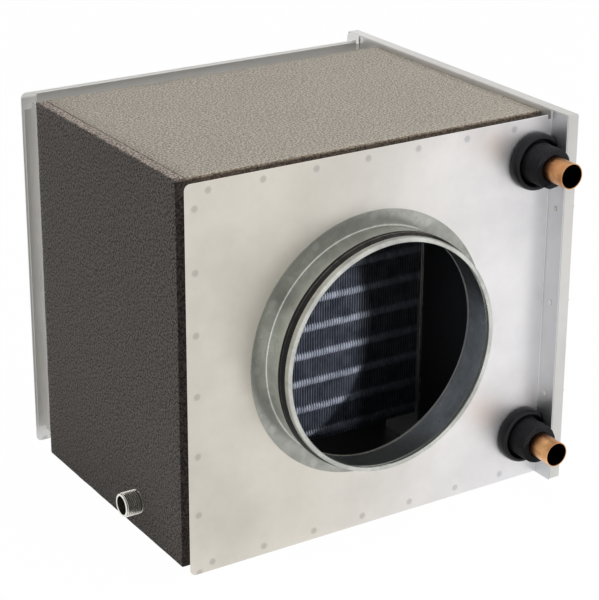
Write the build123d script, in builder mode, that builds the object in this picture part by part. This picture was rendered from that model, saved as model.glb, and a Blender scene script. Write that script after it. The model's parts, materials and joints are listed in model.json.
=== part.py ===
"""Chilled water duct coil: an insulated square casing with a round spigot at each end, a finned
copper coil and its headers inside, a drip tray with a drain nipple, and a removable side cover.

Millimetres, +Z up. X runs to the right, towards the side cover. Y runs along the air path, from
the front spigot to the rear one. The origin is on the spigots' axis, where the front spigot's
straight wall begins: a duct pushed on stops in this plane.
"""

import os
from math import floor

from build123d import *

os.makedirs("parts", exist_ok=True)

# End plates: bent steel sheet, with a flange along the right edge
PLATE_W = 350.0
PLATE_H = 330.0
PLATE_T = 1.0
PLATE_CORNER_R = 5.0
CASE_DEPTH = 287.0
AXIS_FROM_LEFT = 170.0
AXIS_FROM_BOTTOM = 165.0
FLANGE_DEPTH = 20.0
FLANGE_RISE = 3.0
FLANGE_CORNER_R = 6.0
BEND_R = 1.0
RELIEF_W = 3.0
RELIEF_H = 4.0

# Spigots: a rolled pipe with a collar, a seal groove and a rolled rim
SPIGOT_R = 99.5
SPIGOT_T = 0.7
SPIGOT_BEND_R = 1.5
COLLAR_R = 113.5
GROOVE_FROM_ROOT = 17.0
GROOVE_W = 9.0
GROOVE_DEPTH = 2.0
GROOVE_SLOPE = 0.9
RIM_BAND = 4.0
RIM_ROLL_R = 1.7
SEAL_CREST = 0.4
SEAL_BASE_T = 0.8
SEAL_LIP_W = 2.4
SEAL_SIDE_GAP = 0.6

# Casing: a channel open to the right, and the foam slabs glued round it
CASE_T = 0.9
CASE_BEND_R = 1.0
CASE_FLANGE_W = 7.5
CASE_FLANGE_SHORT = 5.0
FOAM_T = 9.2
FOAM_RECESS = 0.3
FOAM_FRONT_GAP = 15.0
FOAM_REAR_GAP = 29.0
FOAM_EDGE_R = 1.5

# Coil: two staggered rows of copper hairpins in one pack of fins
TUBE_R = 4.76
TUBE_T = 0.5
TUBE_PITCH = 25.0
COIL_TOP_GAP = 6.0
ROW_PITCH = 22.0
FIN_T = 0.2
FINS_PER_GROUP = 14
FIN_GROUPS = 7
FIN_COLLAR_T = 0.2
FIN_DEPTH = 44.0
FIN_HOLE_GAP = 0.05
COIL_FROM_FRONT = 80.0
COIL_FROM_BOTTOM = 43.25
COIL_FROM_LEFT = 31.0
COIL_LENGTH = 246.0
SHEET_T = 1.0
SHEET_MARGIN = 2.0
SHEET_LEFT_FLANGE = 19.4
SHEET_RIGHT_FLANGE = 12.0
SHEET_TOP_FLANGE = 14.0
HAIRPIN_BEND_OUT = 1.5
SOCKET_OUT = 3.0
SOCKET_L = 6.0
SOCKET_FLOOR = 1.0
BRAZE_GAP = 0.05
BEND_OUT = 2.0

# Headers: the two water connections are the headers' front ends
STUB_R = 11.0
HEADER_R = 10.8
HEADER_BORE_R = 10.0
STUB_FROM_RIGHT = 19.0
OUTLET_FROM_TOP = 37.0
INLET_FROM_BOTTOM = 42.0
STUB_REACH = 50.0
STUB_SEAT_L = 23.0
HEADER_PAST_ROW = 10.0
FEEDER_STRAIGHT = 7.0
FEEDER_BEND_R = 9.0
FEEDER_LAST = 12.0
FEEDER_INSIDE = 2.0
CAP_T = 1.0
CAP_SKIRT = 4.0
VENT_FROM_FRONT = 30.0
VENT_STEM_R = 2.5
VENT_HEX = 9.0
VENT_HEX_H = 5.0
VENT_KNOB_R = 3.0
VENT_KNOB_H = 3.0
VENT_SLOT_W = 0.9
VENT_SLOT_H = 1.5

# Rubber grommets and foam sleeves round the connections
GROMMET_R = 24.8
GROMMET_H = 10.0
GROMMET_EDGE_R = 2.5
GROMMET_NECK_R = 13.5
GROMMET_INNER_R = 17.0
GROMMET_INNER_H = 3.0
GROMMET_DISH_R = 3.2
GROMMET_DISH_AT = 20.3
GROMMET_TRIM_GAP = 0.1
NECK_GAP = 0.1
PIPE_HUG_GAP = 0.15
SLEEVE_R = 17.5
SLEEVE_L = 17.0

# Drip tray and drain nipple
TRAY_T = 0.8
TRAY_WALL_H = 18.0
TRAY_END_H = 34.0
TRAY_FROM_FRONT = 62.0
TRAY_LENGTH = 163.0
TRAY_RIGHT_GAP = 2.0
TRAY_CORNER_GAP = 0.2
FLANGE_OVER_TRAY = 2.0
NIPPLE_FROM_FRONT = 90.0
NIPPLE_FROM_BOTTOM = 27.0
THREAD_R = 10.4775
THREAD_L = 15.0
THREAD_PITCH = 1.814
THREAD_DEPTH = 0.95
THREAD_CREST_W = 0.5
THREAD_LEAD = 0.6
NIPPLE_BORE_R = 8.0
SHANK_R = 10.2
SHANK_INSIDE = 10.5
SHOULDER_R = 13.0
SHOULDER_T = 3.0
SHOULDER_GAP = 0.2
SHANK_GAP = 0.1
GASKET_R = 13.4
GASKET_T = 2.0
LOCKNUT_HEX = 27.0
LOCKNUT_T = 6.0

# Baffle, partition and the screws that hold them to the tube sheets
BAFFLE_T = 0.8
BAFFLE_EDGE_GAP = 0.5
COIL_SCREW_R = 1.9
COIL_SCREW_HOLE_GAP = 0.1
COIL_SCREW_HEX = 6.0
COIL_SCREW_HEAD_H = 3.0
COIL_SCREW_TIP = 3.0
COIL_SCREW_IN = 6.0
PARTITION_SCREW_FROM_TOP = 28.25
PARTITION_SCREW_FROM_BOTTOM = 21.75

# Side cover with its foam lining
COVER_GAP = 0.2
COVER_DEPTH = 11.3
COVER_T = 1.0
COVER_EDGE_R = 1.5
COVER_RISE = 0.5
LINING_T = 8.5
LINING_GAP = 1.0
COVER_SCREW_R = 2.1
COVER_SCREW_GAP = 0.1
COVER_SCREW_FROM_EDGE = 10.0
COVER_SCREW_PITCH = 85.0
COVER_SCREW_HEX = 7.0
COVER_SCREW_HEAD_H = 4.0
COVER_SCREW_WASHER_R = 5.5
COVER_SCREW_WASHER_T = 1.0
COVER_SCREW_TIP = 0.5
LINING_HOLE_GAP = 0.6

# Places that the sizes above give
LEFT = -AXIS_FROM_LEFT
RIGHT = LEFT + PLATE_W
BOTTOM = -AXIS_FROM_BOTTOM
TOP = BOTTOM + PLATE_H
FRONT = SPIGOT_BEND_R + SPIGOT_T
BACK = FRONT + CASE_DEPTH
MIDDLE = (FRONT + BACK) / 2
FLANGE_TOP = TOP + FLANGE_RISE

CASE_INSET = FOAM_RECESS + FOAM_T
CASE_LEFT = LEFT + CASE_INSET
CASE_BOTTOM = BOTTOM + CASE_INSET
CASE_TOP = TOP - CASE_INSET
INNER_LEFT = CASE_LEFT + CASE_T
INNER_BOTTOM = CASE_BOTTOM + CASE_T
INNER_TOP = CASE_TOP - CASE_T
CASE_FRONT = FRONT + PLATE_T
CASE_BACK = BACK - PLATE_T
FOAM_FRONT = FRONT + FOAM_FRONT_GAP
FOAM_LENGTH = BACK - FOAM_REAR_GAP - FOAM_FRONT

COIL_LEFT = LEFT + COIL_FROM_LEFT
COIL_RIGHT = COIL_LEFT + COIL_LENGTH
FIN_FRONT = FRONT + COIL_FROM_FRONT
FIN_BOTTOM = BOTTOM + COIL_FROM_BOTTOM
TUBES_PER_ROW = 2 * floor((INNER_TOP - COIL_TOP_GAP - FIN_BOTTOM) / (2 * TUBE_PITCH))
FIN_HEIGHT = TUBE_PITCH * TUBES_PER_ROW
FIN_TOP = FIN_BOTTOM + FIN_HEIGHT
FRONT_ROW_Y = FIN_FRONT + (FIN_DEPTH - ROW_PITCH) / 2
REAR_ROW_Y = FRONT_ROW_Y + ROW_PITCH
FRONT_ROW_Z = FIN_BOTTOM + TUBE_PITCH / 4
REAR_ROW_Z = FRONT_ROW_Z + TUBE_PITCH / 2
ROWS = [(FRONT_ROW_Y, FRONT_ROW_Z), (REAR_ROW_Y, REAR_ROW_Z)]
LAST_TUBE = (TUBES_PER_ROW - 1) * TUBE_PITCH
SHEET_FRONT = FIN_FRONT - SHEET_MARGIN
SHEET_BACK = FIN_FRONT + FIN_DEPTH + SHEET_MARGIN
TRAY_FLOOR = INNER_BOTTOM + TRAY_T
SOCKET_START = COIL_RIGHT + SOCKET_OUT
SOCKET_SEAT = SOCKET_START + SOCKET_FLOOR
SOCKET_END = SOCKET_SEAT + SOCKET_L

STUB_X = RIGHT - STUB_FROM_RIGHT
OUTLET_Z = TOP - OUTLET_FROM_TOP
INLET_Z = BOTTOM + INLET_FROM_BOTTOM
STUB_END = FRONT - STUB_REACH
STUB_SEAT = STUB_END + STUB_SEAT_L
HEADER_END = REAR_ROW_Y + HEADER_PAST_ROW
HUG_R = HEADER_R + PIPE_HUG_GAP

NIPPLE_Y = FRONT + NIPPLE_FROM_FRONT
NIPPLE_Z = BOTTOM + NIPPLE_FROM_BOTTOM
SHANK_HOLE_R = SHANK_R + SHANK_GAP
TRAY_FRONT = FRONT + TRAY_FROM_FRONT
TRAY_RIGHT = RIGHT - PLATE_T - TRAY_RIGHT_GAP
TRAY_TOP = INNER_BOTTOM + TRAY_WALL_H

COVER_X = RIGHT + COVER_GAP
COVER_FACE = COVER_X + COVER_DEPTH
COVER_FRONT = FRONT - FLANGE_DEPTH
COVER_LENGTH = CASE_DEPTH + 2 * FLANGE_DEPTH
COVER_TOP = FLANGE_TOP + COVER_RISE
COVER_SCREW_YS = [COVER_FRONT + COVER_SCREW_FROM_EDGE, BACK + FLANGE_DEPTH - COVER_SCREW_FROM_EDGE]
COVER_SCREW_ZS = [-COVER_SCREW_PITCH, 0.0, COVER_SCREW_PITCH]
CORNER = (Align.MIN, Align.MIN, Align.MIN)


def at_y(y):
    """The upright plane at this y: its own axes are X and Z, and it faces the front."""
    return Plane.XZ.offset(-y)


def at_x(x):
    """The upright plane at this x: its own axes are Y and Z, and it faces the right."""
    return Plane.YZ.offset(x)


def tube_spots(row_y, first_z):
    return [(row_y, first_z + k * TUBE_PITCH) for k in range(TUBES_PER_ROW)]


ALL_TUBES = [spot for row_y, first_z in ROWS for spot in tube_spots(row_y, first_z)]


def bent_plate(face_y, flange_y, bend_y):
    """An end plate: face_y is its front face, flange_y the bent flange's front edge."""
    with BuildPart() as plate:
        with BuildSketch(Plane.XY.offset(BOTTOM)) as profile:
            with Locations((LEFT, face_y)):
                Rectangle(PLATE_W, PLATE_T, align=(Align.MIN, Align.MIN))
            with Locations((RIGHT - PLATE_T, flange_y)):
                Rectangle(PLATE_T, FLANGE_DEPTH + PLATE_T, align=(Align.MIN, Align.MIN))
            inside = (RIGHT - PLATE_T, 2 * face_y + PLATE_T - bend_y, BOTTOM)
            outside = (RIGHT, bend_y, BOTTOM)
            fillet(profile.vertices().sort_by_distance(inside)[0], radius=BEND_R)
            fillet(profile.vertices().sort_by_distance(outside)[0], radius=BEND_R + PLATE_T)
        extrude(amount=PLATE_H + FLANGE_RISE)
        with Locations((LEFT, face_y, TOP)):
            Box(PLATE_W - PLATE_T - BEND_R, PLATE_T, FLANGE_RISE, align=CORNER, mode=Mode.SUBTRACT)
        with Locations((RIGHT - PLATE_T - BEND_R - RELIEF_W, face_y, TOP - RELIEF_H)):
            Box(RELIEF_W, PLATE_T, RELIEF_H, align=CORNER, mode=Mode.SUBTRACT)
        corners = plate.edges().filter_by(Axis.Y).group_by(Axis.X)[0]
        fillet(corners, radius=PLATE_CORNER_R)
        with BuildSketch(at_y(face_y)):
            Circle(SPIGOT_R - SPIGOT_T)
        extrude(amount=-PLATE_T, mode=Mode.SUBTRACT)
    return plate


# Front plate: its flange is bent forward, and the two connections pass through it
front_blank = bent_plate(FRONT, FRONT - FLANGE_DEPTH, FRONT + PLATE_T)
with BuildPart() as front_plate:
    add(front_blank.part)
    with BuildSketch(at_y(FRONT)):
        with Locations((STUB_X, OUTLET_Z), (STUB_X, INLET_Z)):
            Circle(GROMMET_NECK_R + NECK_GAP)
    extrude(amount=-PLATE_T, mode=Mode.SUBTRACT)
    with BuildSketch(at_x(RIGHT - PLATE_T)):
        with Locations(*[(COVER_SCREW_YS[0], z) for z in COVER_SCREW_ZS]):
            Circle(COVER_SCREW_R + COVER_SCREW_GAP)
    extrude(amount=PLATE_T, mode=Mode.SUBTRACT)

# Rear plate: its flange is bent backward and has rounded corners
rear_blank = bent_plate(BACK - PLATE_T, BACK - PLATE_T, BACK - PLATE_T)
with BuildPart() as rear_plate:
    add(rear_blank.part)
    flange_corners = rear_plate.edges().filter_by(Axis.X).group_by(Axis.Y)[-1]
    fillet(flange_corners, radius=FLANGE_CORNER_R)
    with BuildSketch(at_x(RIGHT - PLATE_T)):
        with Locations(*[(COVER_SCREW_YS[1], z) for z in COVER_SCREW_ZS]):
            Circle(COVER_SCREW_R + COVER_SCREW_GAP)
    extrude(amount=PLATE_T, mode=Mode.SUBTRACT)

# Casing: one sheet bent to a channel, with outward flanges against the plates' backs
with BuildPart() as casing_wrap:
    with BuildSketch(at_y(CASE_FRONT)):
        with BuildLine() as section:
            half = CASE_T / 2
            FilletPolyline(
                (RIGHT - half, FLANGE_TOP),
                (RIGHT - half, CASE_TOP - half),
                (CASE_LEFT + half, CASE_TOP - half),
                (CASE_LEFT + half, CASE_BOTTOM + half),
                (RIGHT - half, CASE_BOTTOM + half),
                (RIGHT - half, BOTTOM),
                radius=CASE_BEND_R + half,
            )
        trace(line_width=CASE_T)
    extrude(amount=-(CASE_BACK - CASE_FRONT))
    for flange_y in (CASE_FRONT, CASE_BACK - CASE_T):
        with Locations((CASE_LEFT - CASE_FLANGE_W, flange_y, CASE_BOTTOM + CASE_FLANGE_SHORT)):
            Box(
                CASE_FLANGE_W + half,
                CASE_T,
                CASE_TOP - CASE_BOTTOM - 2 * CASE_FLANGE_SHORT,
                align=CORNER,
            )
        with Locations(
            (CASE_LEFT + CASE_FLANGE_SHORT, flange_y, CASE_TOP - half),
            (CASE_LEFT + CASE_FLANGE_SHORT, flange_y, CASE_BOTTOM - CASE_FLANGE_W),
        ):
            Box(
                RIGHT - CASE_LEFT - 2 * CASE_FLANGE_SHORT,
                CASE_T,
                CASE_FLANGE_W + half,
                align=CORNER,
            )
    with BuildSketch(at_x(CASE_LEFT)):
        with Locations((NIPPLE_Y, NIPPLE_Z)):
            Circle(SHANK_HOLE_R)
    extrude(amount=CASE_T, mode=Mode.SUBTRACT)

# Foam slabs: the left one is full height, and the other two butt against it
with BuildPart() as insulation_left:
    with Locations((LEFT + FOAM_RECESS, FOAM_FRONT, BOTTOM + FOAM_RECESS)):
        Box(FOAM_T, FOAM_LENGTH, PLATE_H - 2 * FOAM_RECESS, align=CORNER)
    fillet(insulation_left.edges().filter_by(Axis.Y).group_by(Axis.X)[0], radius=FOAM_EDGE_R)
    with BuildSketch(at_x(LEFT)):
        with Locations((NIPPLE_Y, NIPPLE_Z)):
            Circle(SHANK_HOLE_R)
    extrude(amount=CASE_INSET, mode=Mode.SUBTRACT)
    with BuildSketch(at_x(CASE_LEFT - SHOULDER_T - SHOULDER_GAP)):
        with Locations((NIPPLE_Y, NIPPLE_Z)):
            Circle(SHOULDER_R + SHOULDER_GAP)
    extrude(amount=SHOULDER_T + SHOULDER_GAP, mode=Mode.SUBTRACT)

with BuildPart() as insulation_top:
    with Locations((CASE_LEFT, FOAM_FRONT, CASE_TOP)):
        Box(RIGHT - CASE_T - CASE_LEFT, FOAM_LENGTH, FOAM_T, align=CORNER)
    fillet(insulation_top.edges().filter_by(Axis.X).group_by(Axis.Z)[-1], radius=FOAM_EDGE_R)
    bend_corner = (RIGHT, FOAM_FRONT + FOAM_LENGTH / 2, CASE_TOP)
    fillet(insulation_top.edges().filter_by(Axis.Y).sort_by_distance(bend_corner)[0], radius=CASE_BEND_R)

with BuildPart() as insulation_bottom:
    with Locations((CASE_LEFT, FOAM_FRONT, BOTTOM + FOAM_RECESS)):
        Box(RIGHT - CASE_T - CASE_LEFT, FOAM_LENGTH, FOAM_T, align=CORNER)
    fillet(insulation_bottom.edges().filter_by(Axis.X).group_by(Axis.Z)[0], radius=FOAM_EDGE_R)
    bend_corner = (RIGHT, FOAM_FRONT + FOAM_LENGTH / 2, CASE_BOTTOM)
    fillet(insulation_bottom.edges().filter_by(Axis.Y).sort_by_distance(bend_corner)[0], radius=CASE_BEND_R)

# Front spigot: the middle of its sheet is drawn from the collar to the rolled rim, then revolved
GROOVE_START = -GROOVE_FROM_ROOT
GROOVE_END = GROOVE_START - GROOVE_W
RIM_START = GROOVE_END - RIM_BAND
PIPE_MID = SPIGOT_R - SPIGOT_T / 2
with BuildPart() as front_spigot:
    with BuildSketch(Plane.XY):
        with BuildLine() as collar_line:
            FilletPolyline(
                (COLLAR_R, FRONT - SPIGOT_T / 2),
                (PIPE_MID, FRONT - SPIGOT_T / 2),
                (PIPE_MID, GROOVE_START),
                radius=SPIGOT_BEND_R + SPIGOT_T / 2,
            )
            Polyline(
                (PIPE_MID, GROOVE_START),
                (PIPE_MID - GROOVE_DEPTH, GROOVE_START - GROOVE_SLOPE),
                (PIPE_MID - GROOVE_DEPTH, GROOVE_END + GROOVE_SLOPE),
                (PIPE_MID, GROOVE_END),
                (PIPE_MID, RIM_START),
            )
            CenterArc((PIPE_MID - RIM_ROLL_R, RIM_START), RIM_ROLL_R, 0, -180)
        trace(line_width=SPIGOT_T)
    revolve(axis=Axis.Y)

# Lip seal: two soft lips in the groove, drawn as far out as the duct lets them stand
GROOVE_R = SPIGOT_R - GROOVE_DEPTH
SEAL_LOW = GROOVE_END + GROOVE_SLOPE + SEAL_SIDE_GAP
SEAL_HIGH = GROOVE_START - GROOVE_SLOPE - SEAL_SIDE_GAP
LIP_FOOT = GROOVE_R + SEAL_BASE_T
with BuildPart() as front_lip_seal:
    with BuildSketch(Plane.XY):
        with BuildLine():
            Polyline(
                (GROOVE_R, SEAL_LOW),
                (GROOVE_R, SEAL_HIGH),
                (LIP_FOOT, SEAL_HIGH),
                (SPIGOT_R + SEAL_CREST, SEAL_HIGH),
                (LIP_FOOT, SEAL_HIGH - SEAL_LIP_W),
                (SPIGOT_R + SEAL_CREST, SEAL_LOW + SEAL_LIP_W),
                (LIP_FOOT, SEAL_LOW),
                (GROOVE_R, SEAL_LOW),
            )
        make_face()
    revolve(axis=Axis.Y)

# Rear spigot and seal: the same pieces turned to the other end
with BuildPart() as rear_spigot:
    add(front_spigot.part.mirror(at_y(MIDDLE)))

with BuildPart() as rear_lip_seal:
    add(front_lip_seal.part.mirror(at_y(MIDDLE)))

# Fin pack: fins with collars drawn from their holes, one collar against the next fin
FIN_PITCH = (COIL_LENGTH - 2 * SHEET_T) / (FINS_PER_GROUP * FIN_GROUPS)
FIN_BORE_R = TUBE_R + FIN_HOLE_GAP
with BuildPart() as fin:
    with Locations((0, FIN_FRONT, FIN_BOTTOM)):
        Box(FIN_T, FIN_DEPTH, FIN_HEIGHT, align=CORNER)
    with BuildSketch(at_x(0)):
        with Locations(*ALL_TUBES):
            Circle(FIN_BORE_R + FIN_COLLAR_T)
    extrude(amount=FIN_PITCH)
    with BuildSketch(at_x(0)):
        with Locations(*ALL_TUBES):
            Circle(FIN_BORE_R)
    extrude(amount=FIN_PITCH, mode=Mode.SUBTRACT)

with BuildPart() as fin_group:
    with Locations(*[(k * FIN_PITCH, 0, 0) for k in range(FINS_PER_GROUP)]):
        add(fin.part, clean=False)

with BuildPart() as fin_pack:
    group_w = FINS_PER_GROUP * FIN_PITCH
    with Locations(*[(COIL_LEFT + SHEET_T + k * group_w, 0, 0) for k in range(FIN_GROUPS)]):
        add(fin_group.part, clean=False)


def tube_sheet(face_x, flange_x, flange_w, flange_z, top_x):
    """A coil end sheet: face_x is its left face, flange_x and flange_z its edge flanges' corner."""
    with BuildPart() as sheet:
        with Locations((face_x, SHEET_FRONT, TRAY_FLOOR)):
            Box(SHEET_T, SHEET_BACK - SHEET_FRONT, INNER_TOP - TRAY_FLOOR, align=CORNER)
        with Locations((flange_x, SHEET_FRONT, flange_z), (flange_x, SHEET_BACK - SHEET_T, flange_z)):
            Box(flange_w, SHEET_T, INNER_TOP - flange_z, align=CORNER)
        with Locations((top_x, SHEET_FRONT, INNER_TOP - SHEET_T)):
            Box(SHEET_TOP_FLANGE, SHEET_BACK - SHEET_FRONT, SHEET_T, align=CORNER)
        with BuildSketch(at_x(face_x)):
            with Locations(*ALL_TUBES):
                Circle(TUBE_R + FIN_HOLE_GAP)
        extrude(amount=SHEET_T, mode=Mode.SUBTRACT)
    return sheet


LEFT_SCREW_X = COIL_LEFT - COIL_SCREW_IN
RIGHT_SCREW_X = COIL_RIGHT + COIL_SCREW_IN
TOP_SCREW_Z = (FIN_TOP + INNER_TOP) / 2
TOP_SCREWS = [(LEFT_SCREW_X, TOP_SCREW_Z), (RIGHT_SCREW_X, TOP_SCREW_Z)]
SCREW_LOW = FIN_BOTTOM + PARTITION_SCREW_FROM_BOTTOM
SCREW_HIGH = FIN_TOP - PARTITION_SCREW_FROM_TOP
PARTITION_SCREWS = [(RIGHT_SCREW_X, z) for z in (SCREW_LOW, (SCREW_LOW + SCREW_HIGH) / 2, SCREW_HIGH)]
SCREW_HOLE_R = COIL_SCREW_R + COIL_SCREW_HOLE_GAP

left_blank = tube_sheet(
    COIL_LEFT,
    COIL_LEFT + SHEET_T - SHEET_LEFT_FLANGE,
    SHEET_LEFT_FLANGE,
    INNER_BOTTOM + TRAY_END_H + FLANGE_OVER_TRAY,
    COIL_LEFT + SHEET_T - SHEET_TOP_FLANGE,
)
with BuildPart() as tube_sheet_left:
    add(left_blank.part)
    with BuildSketch(at_y(SHEET_FRONT)):
        with Locations(TOP_SCREWS[0]):
            Circle(SCREW_HOLE_R)
    extrude(amount=-SHEET_T, mode=Mode.SUBTRACT)

sheet_right_x = COIL_RIGHT - SHEET_T
right_blank = tube_sheet(sheet_right_x, sheet_right_x, SHEET_RIGHT_FLANGE, TRAY_FLOOR, sheet_right_x)
with BuildPart() as tube_sheet_right:
    add(right_blank.part)
    with BuildSketch(at_y(SHEET_FRONT)):
        with Locations(TOP_SCREWS[1], *PARTITION_SCREWS):
            Circle(SCREW_HOLE_R)
    extrude(amount=-SHEET_T, mode=Mode.SUBTRACT)

# Hairpins: two tubes and their bend in one piece, with a socket on each open end
with BuildPart() as hairpin:
    with BuildLine(Plane.XZ) as hairpin_path:
        bend_x = COIL_LEFT - HAIRPIN_BEND_OUT
        Line((SOCKET_START, 0), (bend_x, 0))
        TangentArc((bend_x, 0), (bend_x, TUBE_PITCH), tangent=(-1, 0))
        Line((bend_x, TUBE_PITCH), (SOCKET_START, TUBE_PITCH))
    with BuildSketch(at_x(SOCKET_START)):
        Circle(TUBE_R)
        Circle(TUBE_R - TUBE_T, mode=Mode.SUBTRACT)
    sweep(path=hairpin_path.wires()[0])
    with BuildSketch(at_x(SOCKET_START)):
        with Locations((0, 0), (0, TUBE_PITCH)):
            Circle(TUBE_R + BRAZE_GAP + TUBE_T)
            Circle(TUBE_R - TUBE_T, mode=Mode.SUBTRACT)
    extrude(amount=SOCKET_END - SOCKET_START)
    with BuildSketch(at_x(SOCKET_SEAT)):
        with Locations((0, 0), (0, TUBE_PITCH)):
            Circle(TUBE_R + BRAZE_GAP)
    extrude(amount=SOCKET_L, mode=Mode.SUBTRACT)

PAIR_STARTS = range(0, TUBES_PER_ROW - 1, 2)
LINK_STARTS = range(1, TUBES_PER_ROW - 1, 2)
with BuildPart() as coil_hairpins:
    with Locations(*[(0, row_y, first_z + k * TUBE_PITCH) for row_y, first_z in ROWS for k in PAIR_STARTS]):
        add(hairpin.part)

# Return bends: each joins one hairpin to the next, brazed into their sockets
with BuildPart() as return_bend:
    with BuildLine(Plane.XZ) as bend_path:
        turn_x = SOCKET_END + BEND_OUT
        Line((SOCKET_SEAT, 0), (turn_x, 0))
        TangentArc((turn_x, 0), (turn_x, TUBE_PITCH), tangent=(1, 0))
        Line((turn_x, TUBE_PITCH), (SOCKET_SEAT, TUBE_PITCH))
    with BuildSketch(at_x(SOCKET_SEAT)):
        Circle(TUBE_R)
        Circle(TUBE_R - TUBE_T, mode=Mode.SUBTRACT)
    sweep(path=bend_path.wires()[0])

with BuildPart() as return_bends:
    with Locations(*[(0, row_y, first_z + k * TUBE_PITCH) for row_y, first_z in ROWS for k in LINK_STARTS]):
        add(return_bend.part)

# Feeders: each row's last tube goes to the outlet header, and its first to the inlet header
FEEDER_END = STUB_X - HEADER_R + FEEDER_INSIDE
FEEDER_RUNS = []
for row_y, first_z in ROWS:
    FEEDER_RUNS.append((row_y, first_z, INLET_Z))
    FEEDER_RUNS.append((row_y, first_z + LAST_TUBE, OUTLET_Z))

with BuildPart() as feeder_tubes:
    for row_y, tube_z, header_z in FEEDER_RUNS:
        with BuildLine(at_y(row_y)) as feeder_path:
            FilletPolyline(
                (SOCKET_SEAT, tube_z),
                (SOCKET_END + FEEDER_STRAIGHT, tube_z),
                (FEEDER_END - FEEDER_LAST, header_z),
                (FEEDER_END, header_z),
                radius=FEEDER_BEND_R,
            )
        with BuildSketch(at_x(SOCKET_SEAT)):
            with Locations((row_y, tube_z)):
                Circle(TUBE_R)
                Circle(TUBE_R - TUBE_T, mode=Mode.SUBTRACT)
        sweep(path=feeder_path.wires()[0])


def header_pipe(header_z, screw_side):
    """A header: its front end is sized to the connection's diameter, screw_side is 1 up, -1 down."""
    with BuildPart() as pipe:
        with BuildSketch(at_y(STUB_END)):
            with Locations((STUB_X, header_z)):
                Circle(STUB_R)
        extrude(amount=-STUB_SEAT_L)
        with BuildSketch(at_y(STUB_SEAT)):
            with Locations((STUB_X, header_z)):
                Circle(HEADER_R)
        extrude(amount=-(HEADER_END - STUB_SEAT))
        with BuildSketch(at_y(STUB_END)):
            with Locations((STUB_X, header_z)):
                Circle(HEADER_BORE_R)
        extrude(amount=-(HEADER_END - STUB_END), mode=Mode.SUBTRACT)
        with BuildSketch(at_x(STUB_X - STUB_R)):
            with Locations((FRONT_ROW_Y, header_z), (REAR_ROW_Y, header_z)):
                Circle(TUBE_R + BRAZE_GAP)
        extrude(amount=STUB_R, mode=Mode.SUBTRACT)
        with BuildSketch(Plane.XY.offset(header_z)):
            with Locations((STUB_X, FRONT + VENT_FROM_FRONT)):
                Circle(VENT_STEM_R + BRAZE_GAP)
        extrude(amount=screw_side * STUB_R, mode=Mode.SUBTRACT)
    return pipe


with BuildPart() as outlet_header:
    add(header_pipe(OUTLET_Z, 1).part)

with BuildPart() as inlet_header:
    add(header_pipe(INLET_Z, -1).part)

with BuildPart() as header_caps:
    with BuildSketch(at_y(HEADER_END - CAP_SKIRT)):
        with Locations((STUB_X, OUTLET_Z), (STUB_X, INLET_Z)):
            Circle(HEADER_R + BRAZE_GAP + CAP_T)
    extrude(amount=-(CAP_SKIRT + CAP_T))
    with BuildSketch(at_y(HEADER_END - CAP_SKIRT)):
        with Locations((STUB_X, OUTLET_Z), (STUB_X, INLET_Z)):
            Circle(HEADER_R + BRAZE_GAP)
    extrude(amount=-CAP_SKIRT, mode=Mode.SUBTRACT)

# Air vent on top of the outlet header, and the same screw below the inlet header
with BuildPart() as header_screw:
    with BuildSketch(Plane.XY.offset(HEADER_BORE_R - HEADER_R)):
        Circle(VENT_STEM_R)
    extrude(amount=HEADER_R - HEADER_BORE_R)
    with BuildSketch(Plane.XY):
        RegularPolygon(VENT_HEX / 2, 6, major_radius=False)
    extrude(amount=VENT_HEX_H)
    with BuildSketch(Plane.XY.offset(VENT_HEX_H)):
        Circle(VENT_KNOB_R)
    extrude(amount=VENT_KNOB_H)
    with Locations((0, 0, VENT_HEX_H + VENT_KNOB_H)):
        Box(
            2 * VENT_KNOB_R,
            VENT_SLOT_W,
            VENT_SLOT_H,
            align=(Align.CENTER, Align.CENTER, Align.MAX),
            mode=Mode.SUBTRACT,
        )

with BuildPart() as air_vent_screw:
    with Locations((STUB_X, FRONT + VENT_FROM_FRONT, OUTLET_Z + HEADER_R)):
        add(header_screw.part)

with BuildPart() as drain_screw:
    with Locations(Location((STUB_X, FRONT + VENT_FROM_FRONT, INLET_Z - HEADER_R), (180, 0, 0))):
        add(header_screw.part)

# Grommets: a dished ring on the plate, a neck through it and a lip behind it
with BuildPart() as grommet:
    with BuildSketch(at_y(-GROMMET_H)):
        Circle(GROMMET_R)
    extrude(amount=-GROMMET_H)
    fillet(grommet.edges().filter_by(GeomType.CIRCLE).sort_by(Axis.Y)[0], radius=GROMMET_EDGE_R)
    with Locations(Location((0, -GROMMET_H, 0), (90, 0, 0))):
        Torus(GROMMET_DISH_AT, GROMMET_DISH_R, mode=Mode.SUBTRACT)
    with BuildSketch(at_y(0)):
        Circle(GROMMET_NECK_R)
    extrude(amount=-PLATE_T)
    with BuildSketch(at_y(PLATE_T)):
        Circle(GROMMET_INNER_R)
    extrude(amount=-GROMMET_INNER_H)
    with BuildSketch(at_y(-GROMMET_H)):
        Circle(HUG_R)
    extrude(amount=-(GROMMET_H + PLATE_T + GROMMET_INNER_H), mode=Mode.SUBTRACT)
    with Locations((STUB_FROM_RIGHT - PLATE_T - BEND_R - GROMMET_TRIM_GAP, -GROMMET_H, -GROMMET_R)):
        Box(GROMMET_R, GROMMET_H, 2 * GROMMET_R, align=CORNER, mode=Mode.SUBTRACT)

with BuildPart() as outlet_grommet:
    with Locations((STUB_X, FRONT, OUTLET_Z)):
        add(grommet.part)

with BuildPart() as inlet_grommet:
    with Locations((STUB_X, FRONT, INLET_Z)):
        add(grommet.part)

# Foam sleeves round the connections, in front of the grommets
with BuildPart() as pipe_sleeve:
    with BuildSketch(at_y(-GROMMET_H - SLEEVE_L)):
        Circle(SLEEVE_R)
        Circle(HUG_R, mode=Mode.SUBTRACT)
    extrude(amount=-SLEEVE_L)

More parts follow.
